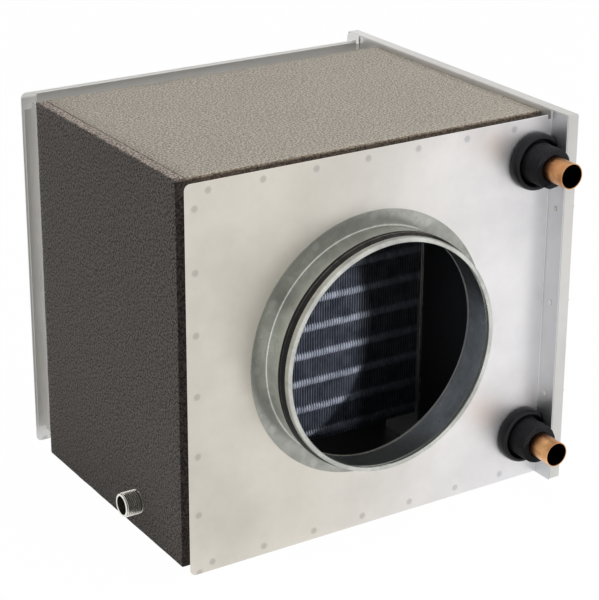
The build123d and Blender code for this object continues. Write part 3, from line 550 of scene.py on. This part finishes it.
# %% Weld marks on plates and collars
DENT_DEPTH = 0.6 * MM
DENT_STRENGTH = 0.16
PLATE_MARK_SHARE = 0.5
COLLAR_MARK_SHARE = 0.6
X_AXIS = 0
Y_AXIS = 1
Z_AXIS = 2
# Along, across, start, pitch and line of the left, bottom and top row, in millimetres
PLATE_ROWS = [
    (Z_AXIS, X_AXIS, 42.0, 51.5, -162.0),
    (X_AXIS, Z_AXIS, -150.0, 48.3, -157.5),
    (X_AXIS, Z_AXIS, -150.0, 48.3, 158.0),
]


def plate_rows(tree):
    axes = object_axes(tree)
    total = 0.0
    for along_axis, across_axis, start, pitch, line in PLATE_ROWS:
        values = {
            "Start": start * MM,
            "Pitch": pitch * MM,
            "Line": line * MM,
            "Along": axes[along_axis],
            "Across": axes[across_axis],
        }
        total = calc(tree, "MAXIMUM", total, place_group(tree, weld_row, values)["Mask"])
    return calc(tree, "MULTIPLY", total, PLATE_MARK_SHARE)


def collar_ring(tree):
    ring = place_group(tree, weld_ring, {})
    return calc(tree, "MULTIPLY", ring["Mask"], COLLAR_MARK_SHARE)


def add_marks(material, build_mask, colour):
    """Colours and dents a metal where the mask is set, on top of what it already has."""
    tree = material.node_tree
    mask = build_mask(tree)
    colour_where(material, mask, colour, "MIX")
    dent = tree.nodes.new("ShaderNodeBump")
    dent.invert = True
    dent.inputs["Distance"].default_value = DENT_DEPTH
    dent.inputs["Strength"].default_value = DENT_STRENGTH
    normal_socket = tree.nodes["Principled BSDF"].inputs["Normal"]
    put(tree, dent.inputs["Height"], mask)
    put(tree, dent.inputs["Normal"], normal_socket.links[0].from_socket)
    put(tree, normal_socket, dent.outputs["Normal"])
    return material


# %% [markdown]
# Most of the sheet has one plain finish, and four others are made from it. The front plate is
# warm at the left and turns cooler and lighter to the right, a painted reflection of the light,
# and its right flange has a band of painted shade. The rear plate is painted paler, as a lit copy
# of the zinc, and is less metallic. The casing has painted shade inside. The spigots have a
# stronger mottle, and the front collar is a little darker than its pipe.

# %% Zinc finishes
SHEET_ROUGH = (0.36, 0.48)
SHEET_LIGHT = (0.70, 0.69, 0.67)
SHEET_DARK = (0.62, 0.61, 0.59)
CASING_HALF_HEIGHT = 155.1
CASING_LEFT_WALL = -160.0
finishes = {}
finishes["zinc_sheet"] = metal("zinc_sheet", SHEET_LIGHT, SHEET_DARK, SHEET_ROUGH)
finishes["zinc_pipe"] = metal(
    "zinc_pipe", (0.68, 0.69, 0.65), (0.44, 0.45, 0.42), (0.26, 0.42),
    cloud=26.0, spangle_scale=260.0, spangle=0.3,
)
add_marks(finishes["zinc_pipe"], collar_ring, (0.78, 0.78, 0.76))
tint(finishes["zinc_pipe"], band(Y_AXIS, 1.2, 4.0), (0.66, 0.66, 0.64))

welded_sheet = metal("zinc_sheet_welded", (0.74, 0.70, 0.625), (0.66, 0.625, 0.56), SHEET_ROUGH)
add_marks(welded_sheet, plate_rows, (0.36, 0.35, 0.33))
# Painted reflection: the plate turns lighter and cooler to the right.
tint(welded_sheet, along(X_AXIS, -100.0, 170.0), (1.22, 1.27, 1.44))
# Painted shade: a darker band on the right flange's inner face.
tint(welded_sheet, along(X_AXIS, 177.5, 178.5), (0.72, 0.74, 0.74))

# Painted light: the rear plate is a paler copy of the zinc.
rear_sheet = metal("zinc_sheet_rear", (0.95, 0.95, 0.93), (0.88, 0.88, 0.86), SHEET_ROUGH)
add_marks(rear_sheet, plate_rows, (0.5, 0.5, 0.49))
set_shader(rear_sheet, "Metallic", 0.6)


def inside_casing(tree):
    """Set on the casing's inner faces, which see no daylight."""
    axes = object_axes(tree)
    height = calc(tree, "ABSOLUTE", axes[Z_AXIS])
    low = calc(tree, "LESS_THAN", height, CASING_HALF_HEIGHT * MM)
    right = calc(tree, "GREATER_THAN", axes[X_AXIS], CASING_LEFT_WALL * MM)
    return calc(tree, "MULTIPLY", low, right)


casing_sheet = metal("zinc_sheet_casing", SHEET_LIGHT, SHEET_DARK, SHEET_ROUGH)
# Painted shade: the casing's inner faces are made nearly black.
tint(casing_sheet, inside_casing, (0.10, 0.10, 0.11))
print("finishes for single sheets:", welded_sheet.name, rear_sheet.name, casing_sheet.name)

# %% [markdown]
# The boards are closed-cell foam with a skin. The top one catches the lamp and looks grey-brown.
# The left one is turned away, so its finish is a shaded copy, painted nearly black, with a coarser
# grain. Both have painted shade on the end that faces the front plate, and the left one is a little
# darker on its top edge too.

# %% Foam finishes
FOAM_END_SHADE = (18.2, 17.6)
LEFT_TOP_EDGE = (163.2, 164.0)
finishes["foam"] = grained(
    "foam", (0.50, 0.455, 0.385), (0.10, 0.088, 0.07), 0.85,
    grain=620.0, contrast=0.09, patch=0.12, bump=0.7, sheen=0.2,
)
# Painted shade on the board's end behind the front plate.
tint(finishes["foam"], along(Y_AXIS, *FOAM_END_SHADE), (0.5, 0.44, 0.4))
# Painted shade: the left board is a darker copy of the same foam.
shaded_side_foam = grained(
    "shaded_side_foam", (0.52, 0.455, 0.405), (0.03, 0.026, 0.022), 0.9,
    grain=560.0, contrast=0.05, patch=0.08, bump=1.0, sheen=0.1,
)
tint(shaded_side_foam, along(Z_AXIS, *LEFT_TOP_EDGE), (0.88, 0.86, 0.84))
# Painted shade on the left board's end behind the front plate.
tint(shaded_side_foam, along(Y_AXIS, *FOAM_END_SHADE), (0.22, 0.20, 0.20))
print("foam finishes:", finishes["foam"].name, shaded_side_foam.name)

# %% [markdown]
# Three black things look different side by side. The lip seals are smooth, with a painted grey
# sheen in the groove between the lips. The grommets are moulded, with a finer and flatter grain.
# The sleeves are cut foam, quite matt.

# %% Rubber and sleeve finishes
SEAL_GROOVE_SHEEN = (-22.2, -20.6)
finishes["seal_rubber"] = grained(
    "seal_rubber", (0.02, 0.018, 0.016), (0.004, 0.0035, 0.003), 0.22,
    grain=140.0, contrast=0.15, patch=0.2, bump=0.5,
)
# Painted sheen: the groove between the lips is made lighter.
tint(finishes["seal_rubber"], band(Y_AXIS, *SEAL_GROOVE_SHEEN), (7.0, 7.0, 6.6))
finishes["grommet_rubber"] = grained(
    "grommet_rubber", (0.012, 0.012, 0.014), (0.005, 0.005, 0.006), 0.22,
    grain=250.0, contrast=0.3, patch=0.5, bump=0.08,
)
finishes["sleeve_foam"] = grained(
    "sleeve_foam", (0.026, 0.026, 0.029), (0.007, 0.007, 0.008), 0.8,
    grain=700.0, contrast=0.15, patch=0.3, bump=0.5,
)
print("seal groove in mm:", SEAL_GROOVE_SHEEN)

# %% [markdown]
# Fins are thin bright aluminium, but they catch light only on their front edges, and not at the
# right, which stays in shadow. Two tints do that: one darkens them behind the edge, and one
# darkens the quarter of them that is at the right.

# %% Fin finish
FIN_EDGE = (83.6, 84.4)
FIN_SHADE = (38.0, 52.0)
finishes["fin_aluminium"] = metal(
    "fin_aluminium", (0.50, 0.53, 0.62), (0.26, 0.29, 0.35), (0.45, 0.6), cloud=90.0
)
set_shader(finishes["fin_aluminium"], "Metallic", 0.15)
tint(finishes["fin_aluminium"], along(Y_AXIS, *FIN_EDGE), (0.42, 0.42, 0.45))
tint(finishes["fin_aluminium"], along(X_AXIS, *FIN_SHADE), (0.3, 0.3, 0.3))
LOW_SHINE = 0.2
for name in ("seal_rubber", "grommet_rubber", "sleeve_foam", "fin_aluminium"):
    set_shader(finishes[name], "Specular IOR Level", LOW_SHINE)
print("low shine:", LOW_SHINE)

# %% [markdown]
# The water pipes are drawn copper: bright at the cut end, browner where they leave the sleeves
# and with painted shade in the bore. Masks by place do all three. The bores need a round mask, so
# the pipes' places are named here and used again for their grommets.

# %% Copper, and where the water pipes are
STUB_X = 161.0
STUB_HEIGHTS = {"outlet": 128.0, "inlet": -123.0}
STUB_MIDDLE = (STUB_HEIGHTS["outlet"] + STUB_HEIGHTS["inlet"]) / 2
STUB_REACH = (STUB_HEIGHTS["outlet"] - STUB_HEIGHTS["inlet"]) / 2
STUB_BORE_R = 10.3
BROWN_COPPER = (-40.0, -26.0)


def inside_stub(tree):
    """Set in the two water pipes' bores."""
    axes = object_axes(tree)
    centred = calc(tree, "SUBTRACT", axes[Z_AXIS], STUB_MIDDLE * MM)
    up = calc(tree, "SUBTRACT", calc(tree, "ABSOLUTE", centred), STUB_REACH * MM)
    side = calc(tree, "SUBTRACT", axes[X_AXIS], STUB_X * MM)
    return calc(tree, "LESS_THAN", distance(tree, side, up), STUB_BORE_R * MM)


finishes["copper"] = metal(
    "copper", (0.82, 0.45, 0.20), (0.55, 0.26, 0.11), (0.22, 0.38),
    cloud=70.0, spangle_scale=300.0, spangle=0.1,
)
# Painted shade in the pipes' bores.
tint(finishes["copper"], inside_stub, (0.10, 0.07, 0.06))
tint(finishes["copper"], along(Y_AXIS, *BROWN_COPPER), (0.42, 0.36, 0.36))
print("copper bores:", STUB_BORE_R, "mm at heights", list(STUB_HEIGHTS.values()))

# %% [markdown]
# The small metal parts are plated steel and brass. The drain's thread has painted shade in its
# grooves, which leaves it bright on its crests, so its mask goes by the distance from the nipple's
# axis. The tray and the partition lie deep inside, and their near-black tone is painted shade.

# %% Fittings, tray and partition
DRAIN_Y = 92.2
DRAIN_Z = -138.0
CREST_R = 10.05
ROOT_R = 9.7
NIPPLE_MOUTH = -184.2


def below_crest(tree):
    """Set in the drain thread's grooves and in its bore, behind the nipple's mouth."""
    axes = object_axes(tree)
    side = calc(tree, "SUBTRACT", axes[Y_AXIS], DRAIN_Y * MM)
    up = calc(tree, "SUBTRACT", axes[Z_AXIS], DRAIN_Z * MM)
    deep = ramp(tree, distance(tree, side, up), CREST_R * MM, ROOT_R * MM, smooth=True)
    behind = calc(tree, "GREATER_THAN", axes[X_AXIS], NIPPLE_MOUTH * MM)
    return calc(tree, "MULTIPLY", deep, behind)


finishes["plated_steel"] = metal(
    "plated_steel", (0.74, 0.73, 0.70), (0.50, 0.49, 0.46), (0.16, 0.34),
    cloud=60.0, spangle_scale=400.0, spangle=0.2,
)
thread_steel = metal(
    "threaded_steel", (0.86, 0.85, 0.80), (0.70, 0.69, 0.64), (0.2, 0.35),
    cloud=60.0, spangle_scale=400.0, spangle=0.2,
)
# Painted shade in the thread's grooves and in the nipple's bore.
tint(thread_steel, below_crest, (0.42, 0.41, 0.37))
finishes["brass"] = metal(
    "brass", (0.80, 0.64, 0.32), (0.66, 0.50, 0.22), (0.25, 0.4),
    cloud=60.0, spangle_scale=300.0, spangle=0.1,
)
# Painted shade: the tray is made nearly black.
finishes["tray_steel"] = metal("tray_steel", (0.03, 0.03, 0.032), (0.02, 0.02, 0.021), (0.6, 0.7))
# Painted shade: the partition is made nearly black.
finishes["dark_sheet"] = grained(
    "dark_sheet", (0.014, 0.014, 0.016), (0.006, 0.006, 0.007), 0.6, grain=500.0
)
print("finishes by slot:", len(finishes))


# %% [markdown]
# Every solid has a slot in the frame that says what it is made of. Three sheets then get a zinc
# of their own, because their marks and shades lie in different places.

# %% Give every solid its finish
def give_finish(node, material):
    node.data.materials.clear()
    node.data.materials.append(material)


for row in frame["record"]["subparts"]:
    give_finish(nodes[row["node"]], finishes[row["material_slot"]])
give_finish(nodes["front_plate"], welded_sheet)
give_finish(nodes["rear_plate"], rear_sheet)
give_finish(nodes["casing_wrap"], casing_sheet)


# %% [markdown]
# ## New pieces
# The solids carry the true sizes. The pieces below stand in for some of them, where the real
# thing has softer edges or finer relief: foam boards, seals, grommets, sleeves, fins and the
# drain's thread. An operator acts on all that is selected, so a step first chooses one piece.

# %% Helpers: choose, place and finish a piece
def choose(piece):
    """Makes one piece the only selected one and the active one."""
    bpy.ops.object.select_all(action="DESELECT")
    piece.select_set(True)
    bpy.context.view_layer.objects.active = piece


def clear_transform(piece):
    """Moves a piece's place, turn and scale into its mesh."""
    choose(piece)
    bpy.ops.object.transform_apply(location=True, rotation=True, scale=True)


def set_down(piece, name, place=(0, 0, 0), turn=(0, 0, 0)):
    """Names a piece and moves it to its place in millimetres, turned in degrees."""
    piece.name = name
    piece.data.name = name
    piece.location = [v * MM for v in place]
    piece.rotation_euler = [math.radians(v) for v in turn]
    clear_transform(piece)
    return piece


def apply_all(piece):
    """Applies a piece's modifiers in their order."""
    choose(piece)
    for modifier in list(piece.modifiers):
        bpy.ops.object.modifier_apply(modifier=modifier.name)
    return piece


def belongs(piece, body, slot_name, *replaced, angle=40, finish=None):
    """Gives a piece its finish, its body and the nodes that it stands for."""
    give_finish(piece, finish or finishes[slot_name])
    choose(piece)
    bpy.ops.object.shade_smooth_by_angle(angle=math.radians(angle))
    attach(piece, body)
    if replaced:
        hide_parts(*replaced)
    return piece


# %% [markdown]
# Most of the small pieces are round, as if turned on a lathe. A circle is extruded ring by ring
# up and down the axis, and each ring is scaled to its radius. Every profile ends where it began,
# so the piece closes on itself, and its double ring is then merged.

# %% Helper: a turned piece
MERGE_WITHIN = 0.002 * MM


def turned(rings, segments=96):
    """A turned piece on the Z axis, from (radius, height) in millimetres, the last as the first."""
    bpy.ops.object.select_all(action="DESELECT")
    radius, height = rings[0]
    bpy.ops.mesh.primitive_circle_add(vertices=segments, radius=radius * MM)
    piece = bpy.context.object
    bpy.ops.object.mode_set(mode="EDIT")
    bpy.ops.mesh.select_all(action="SELECT")
    bpy.ops.transform.translate(value=(0, 0, height * MM))
    for (r0, h0), (r1, h1) in zip(rings, rings[1:]):
        bpy.ops.mesh.extrude_edges_move(TRANSFORM_OT_translate={"value": (0, 0, (h1 - h0) * MM)})
        bpy.ops.transform.resize(value=(r1 / r0, r1 / r0, 1), center_override=(0, 0, h1 * MM))
    bpy.ops.mesh.select_all(action="SELECT")
    bpy.ops.mesh.remove_doubles(threshold=MERGE_WITHIN)
    bpy.ops.mesh.normals_make_consistent(inside=False)
    bpy.ops.object.mode_set(mode="OBJECT")
    return piece


# %% [markdown]
# The two water pipes leave the plate through rubber grommets. Each is a moulded ring: a fat bead
# outside, a dish, a collar that holds the pipe, and a groove that grips the plate. One profile
# makes both. The plate's right flange is in their way, so each is cut flat beside it with a
# bisect that closes the cut.

# %% Grommets
PLATE_FACE = 2.2
FLANGE_INSIDE = 179.0
FLANGE_GAP = 1.1
LYING_TO_FRONT = (90, 0, 0)
GROMMET_RINGS = [
    (24.0, 0.0), (24.7, 0.6), (24.8, 3.0), (24.6, 5.8), (24.0, 7.7), (23.0, 9.1), (21.9, 9.7),
    (20.9, 9.5), (20.1, 8.6), (19.6, 7.2), (19.2, 5.6), (18.6, 4.6), (17.6, 4.2), (11.1, 4.2),
    (11.1, -4.0), (17.0, -4.0), (17.0, -1.1), (13.5, -1.1), (13.5, 0.0), (24.0, 0.0),
]


def trim_beside_flange(piece):
    """Cuts away what lies too near the flange, and closes the cut."""
    cut_x = FLANGE_INSIDE - FLANGE_GAP
    choose(piece)
    bpy.ops.object.mode_set(mode="EDIT")
    bpy.ops.mesh.select_all(action="SELECT")
    bpy.ops.mesh.bisect(plane_co=(cut_x * MM, 0, 0), plane_no=(1, 0, 0), use_fill=True, clear_outer=True)
    bpy.ops.object.mode_set(mode="OBJECT")


for end, z in STUB_HEIGHTS.items():
    ring = turned(GROMMET_RINGS)
    grommet = set_down(ring, f"{end}_grommet_moulded", (STUB_X, PLATE_FACE, z), LYING_TO_FRONT)
    trim_beside_flange(grommet)
    belongs(grommet, "casing", "grommet_rubber", f"{end}_grommet")
    print(grommet.name, "faces:", len(grommet.data.polygons))

# %% [markdown]
# A short foam sleeve wraps each pipe where it passes the grommet. It is cut by hand from a longer
# tube, so its wall is uneven. The tube is turned with many rings, and a Displace modifier with a
# cloud texture then pushes them about by less than a millimetre.

# %% Foam sleeves
SLEEVE_OUTER_R = 17.5
SLEEVE_START = 5.0
SLEEVE_STEP = 1.1
SLEEVE_STEPS = 19
SLEEVE_UNEVEN = 1.3
KEEPS_WITHIN = 0.62
SLEEVE_RINGS = [(16.9, 4.3)]
SLEEVE_RINGS += [(SLEEVE_OUTER_R, SLEEVE_START + SLEEVE_STEP * k) for k in range(SLEEVE_STEPS + 1)]
SLEEVE_RINGS += [
    (17.1, 26.8), (16.4, 27.0), (14.8, 27.0), (13.2, 27.0), (11.8, 26.9), (11.1, 26.4), (11.1, 4.3),
    (16.9, 4.3),
]
sleeve_wobble = bpy.data.textures.new("cut_foam_wobble", "CLOUDS")
sleeve_wobble.noise_scale = 9 * MM


def roughen(piece, texture, strength):
    """Pushes a piece's surface about, mostly inwards, by a texture in its own coordinates."""
    uneven = piece.modifiers.new("uneven", "DISPLACE")
    uneven.texture = texture
    uneven.texture_coords = "LOCAL"
    uneven.strength = strength * MM
    uneven.mid_level = KEEPS_WITHIN
    apply_all(piece)


for end, z in STUB_HEIGHTS.items():
    tube = turned(SLEEVE_RINGS)
    sleeve = set_down(tube, f"{end}_sleeve_cut", (STUB_X, PLATE_FACE, z), LYING_TO_FRONT)
    roughen(sleeve, sleeve_wobble, SLEEVE_UNEVEN)
    belongs(sleeve, "casing", "sleeve_foam", f"{end}_pipe_sleeve", angle=50)
    print(sleeve.name, "faces:", len(sleeve.data.polygons))

# %% [markdown]
# The seals are double lips of soft rubber. On a free spigot both lips stand proud of the pipe,
# which the solid can't show because a duct has to pass over it. One profile serves both ends:
# the front one lies towards the front, and the rear one is turned the other way.

# %% Lip seals
SEAL_RINGS = [
    (97.6, 18.6), (98.7, 18.6), (99.1, 19.4), (100.9, 18.6), (101.4, 18.7), (101.2, 19.3), (99.2, 20.7),
    (99.1, 22.1), (100.9, 21.5), (101.4, 21.6), (101.2, 22.2), (99.4, 23.8), (98.8, 25.0), (97.6, 25.0),
    (97.6, 18.6),
]
SEAL_SEGMENTS = 192
REAR_ROOT = 291.4
SEAL_PLACES = {
    "front": ((0, 0, 0), LYING_TO_FRONT),
    "rear": ((0, REAR_ROOT, 0), (-90, 0, 0)),
}
for end, (place, turn) in SEAL_PLACES.items():
    seal = set_down(turned(SEAL_RINGS, SEAL_SEGMENTS), f"{end}_seal_lips", place, turn)
    belongs(seal, "casing", "seal_rubber", f"{end}_lip_seal", angle=50)
    print(seal.name, "faces:", len(seal.data.polygons))

# %% [markdown]
# The foam boards are soft to the touch: their cut edges are never sharp, and they lie a little
# uneven on the sheet. Each is a cube that is sized, bevelled, cut finer and pushed about by a
# fraction of a millimetre, mostly inwards, so that it stays clear of the sheet beside it.

# %% Foam boards
BOARD_FRONT = 17.2
BOARD_BACK = 260.2
BOARD_OUTSIDE = 164.7
BOARD_INSIDE = 155.6
LEFT_OUTSIDE = -169.7
LEFT_INSIDE = -160.6
FLAT_START = -160.5
FLAT_END = 179.0
COVER_BOARD_LOW = (182.1, -15.7, -162.9)
COVER_BOARD_HIGH = (190.3, 307.1, 166.4)
EDGE_SOFTNESS = 1.3
BOARD_CUTS = 24
BOARD_UNEVEN = 0.7
board_wobble = bpy.data.textures.new("board_wobble", "CLOUDS")
board_wobble.noise_scale = 22 * MM


def foam_board(name, low, high, replaced, body="casing", finish=None):
    """A board between two corners in millimetres."""
    centre = [(h + l) / 2 * MM for l, h in zip(low, high)]
    bpy.ops.object.select_all(action="DESELECT")
    bpy.ops.mesh.primitive_cube_add(size=1, location=centre)
    board = bpy.context.object
    board.scale = [(h - l) * MM for l, h in zip(low, high)]
    clear_transform(board)
    bpy.ops.object.mode_set(mode="EDIT")
    bpy.ops.mesh.select_all(action="SELECT")
    bpy.ops.mesh.bevel(offset=EDGE_SOFTNESS * MM, segments=3, profile=0.5)
    bpy.ops.mesh.select_all(action="SELECT")
    bpy.ops.mesh.subdivide(number_cuts=BOARD_CUTS)
    bpy.ops.object.mode_set(mode="OBJECT")
    roughen(board, board_wobble, BOARD_UNEVEN)
    board.name = name
    board.data.name = name
    belongs(board, body, "foam", replaced, angle=60, finish=finish)
    print(name, "faces:", len(board.data.polygons))


foam_board(
    "left_foam_board",
    (LEFT_OUTSIDE, BOARD_FRONT, -BOARD_OUTSIDE),
    (LEFT_INSIDE, BOARD_BACK, BOARD_OUTSIDE),
    "insulation_left",
    finish=shaded_side_foam,
)
foam_board(
    "top_foam_board",
    (FLAT_START, BOARD_FRONT, BOARD_INSIDE),
    (FLAT_END, BOARD_BACK, BOARD_OUTSIDE),
    "insulation_top",
)
foam_board(
    "bottom_foam_board",
    (FLAT_START, BOARD_FRONT, -BOARD_OUTSIDE),
    (FLAT_END, BOARD_BACK, -BOARD_INSIDE),
    "insulation_bottom",
)
foam_board("cover_foam_board", COVER_BOARD_LOW, COVER_BOARD_HIGH, "cover_insulation", body="cover")


# %% [markdown]
# The fins are the one part that repeats a hundred times, so each is a plain thin box, made once
# and repeated by an Array modifier. The tubes' collars show between them as dotted rows, and they
# are plain bars just behind the fins' edges. The solid's fins have true holes, which nobody sees
# from outside.

# %% Fins
FIN_COUNT = 98
FIN_T = 0.2
FIN_FRONT = 82.2
FIN_DEPTH = 44.0
FIN_BOTTOM = -121.75
FIN_HEIGHT = 250.0
FIRST_FIN_X = -136.9
FIN_BANK_WIDTH = 244.0


def repeat(piece, count, step):
    """Repeats a piece at even steps, given in millimetres."""
    copies = piece.modifiers.new("repeat", "ARRAY")
    copies.count = count
    copies.use_relative_offset = False
    copies.use_constant_offset = True
    copies.constant_offset_displace = [v * MM for v in step]
    apply_all(piece)


fin_centre = (FIRST_FIN_X, FIN_FRONT + FIN_DEPTH / 2, FIN_BOTTOM + FIN_HEIGHT / 2)
bpy.ops.object.select_all(action="DESELECT")
bpy.ops.mesh.primitive_cube_add(size=1, location=[v * MM for v in fin_centre])
fin_bank = bpy.context.object
fin_bank.scale = (FIN_T * MM, FIN_DEPTH * MM, FIN_HEIGHT * MM)
clear_transform(fin_bank)
repeat(fin_bank, FIN_COUNT, (FIN_BANK_WIDTH / FIN_COUNT, 0, 0))
print("fins:", FIN_COUNT, "pitch in mm:", round(FIN_BANK_WIDTH / FIN_COUNT, 2))

# %% [markdown]
# The coil has two rows of tubes, one behind the other and half a pitch higher. One bar is laid
# for each row and repeated upwards, and the bars are then joined to the fins as one piece.

# %% Collar rows
COLLAR_R = 5.6
COLLAR_BEHIND = 0.6
COLLAR_LENGTH = 243.0
COLLAR_MIDDLE = -15.5
TUBE_PITCH = 25.0
TUBES_PER_ROW = 10
FRONT_ROW = (FIN_FRONT + COLLAR_BEHIND + COLLAR_R, -115.5)
BACK_ROW = (FIN_FRONT + FIN_DEPTH - COLLAR_BEHIND - COLLAR_R, -103.0)
for y, first_z in (FRONT_ROW, BACK_ROW):
    bpy.ops.object.select_all(action="DESELECT")
    bpy.ops.mesh.primitive_cylinder_add(
        vertices=24, radius=COLLAR_R * MM, depth=COLLAR_LENGTH * MM, end_fill_type="NGON",
        location=(COLLAR_MIDDLE * MM, y * MM, first_z * MM), rotation=(0, math.pi / 2, 0),
    )
    bars = bpy.context.object
    clear_transform(bars)
    repeat(bars, TUBES_PER_ROW, (0, 0, TUBE_PITCH))
    bars.data.materials.clear()
    fin_bank.select_set(True)
    bpy.context.view_layer.objects.active = fin_bank
    bpy.ops.object.join()
fin_bank.name = "fin_bank"
fin_bank.data.name = "fin_bank"
belongs(fin_bank, "casing", "fin_aluminium", "fin_pack")
print("fin bank faces:", len(fin_bank.data.polygons))

# %% [markdown]
# The drain's nipple has a real pipe thread, and its turns can be counted. A ridge with slanted
# flanks is wound by the Screw modifier, then joined to a plain turned tube. The ridge's foot is
# sunk a little into the tube, so that no gap shows between them.

# %% Drain nipple with its thread
NIPPLE_RINGS = [
    (8.0, -20.9), (8.0, 14.6), (8.3, 15.0), (9.3, 15.0), (9.9, 14.5), (9.9, 14.2), (9.55, 13.9),
    (9.55, 0.4), (10.2, 0.0), (10.2, -6.4), (13.0, -6.5), (13.0, -9.5), (10.2, -9.6), (10.2, -20.9),
    (8.0, -20.9),
]
NIPPLE_SEGMENTS = 72
NIPPLE_ROOT = -170.0
RIDGE_START = 0.9
RIDGE_CORNERS = [(9.2, -0.75), (10.42, -0.16), (9.2, 0.75), (10.42, 0.16)]
THREAD_PITCH = 1.814
THREAD_TURNS = 7
STEPS_PER_TURN = 48
nipple = turned(NIPPLE_RINGS, NIPPLE_SEGMENTS)
bpy.ops.object.select_all(action="DESELECT")
bpy.ops.mesh.primitive_plane_add(size=1, location=(0, 0, 0))
ridge = bpy.context.object
for vertex, (radius, height) in zip(ridge.data.vertices, RIDGE_CORNERS):
    vertex.co = (radius * MM, 0, (height + RIDGE_START) * MM)
winding = ridge.modifiers.new("winding", "SCREW")
winding.axis = "Z"
winding.screw_offset = THREAD_PITCH * MM
winding.iterations = THREAD_TURNS
winding.steps = STEPS_PER_TURN
winding.render_steps = STEPS_PER_TURN
winding.use_merge_vertices = False
apply_all(ridge)
nipple.select_set(True)
bpy.context.view_layer.objects.active = nipple
bpy.ops.object.join()
bpy.ops.object.mode_set(mode="EDIT")
bpy.ops.mesh.select_all(action="SELECT")
bpy.ops.mesh.normals_make_consistent(inside=False)
bpy.ops.object.mode_set(mode="OBJECT")
set_down(nipple, "threaded_nipple", (NIPPLE_ROOT, DRAIN_Y, DRAIN_Z), (0, -90, 0))
belongs(nipple, "casing", "plated_steel", "drain_nipple", angle=35, finish=thread_steel)
print("nipple faces:", len(nipple.data.polygons))

# %% [markdown]
# One bright line runs down beside the fins, on the edge of the sheet that closes the coil's side.
# A thin round bead stands there and catches the light.

# %% Bead beside the fins
BEAD_R = 0.7
BEAD_LENGTH = 243.0
BEAD_PLACE = (107.6, 78.4, 3.2)
bpy.ops.object.select_all(action="DESELECT")
bpy.ops.mesh.primitive_cylinder_add(vertices=16, radius=BEAD_R * MM, depth=BEAD_LENGTH * MM)
bead = set_down(bpy.context.object, "sheet_bead", BEAD_PLACE)
belongs(bead, "casing", "plated_steel")
print(bead.name, "faces:", len(bead.data.polygons))
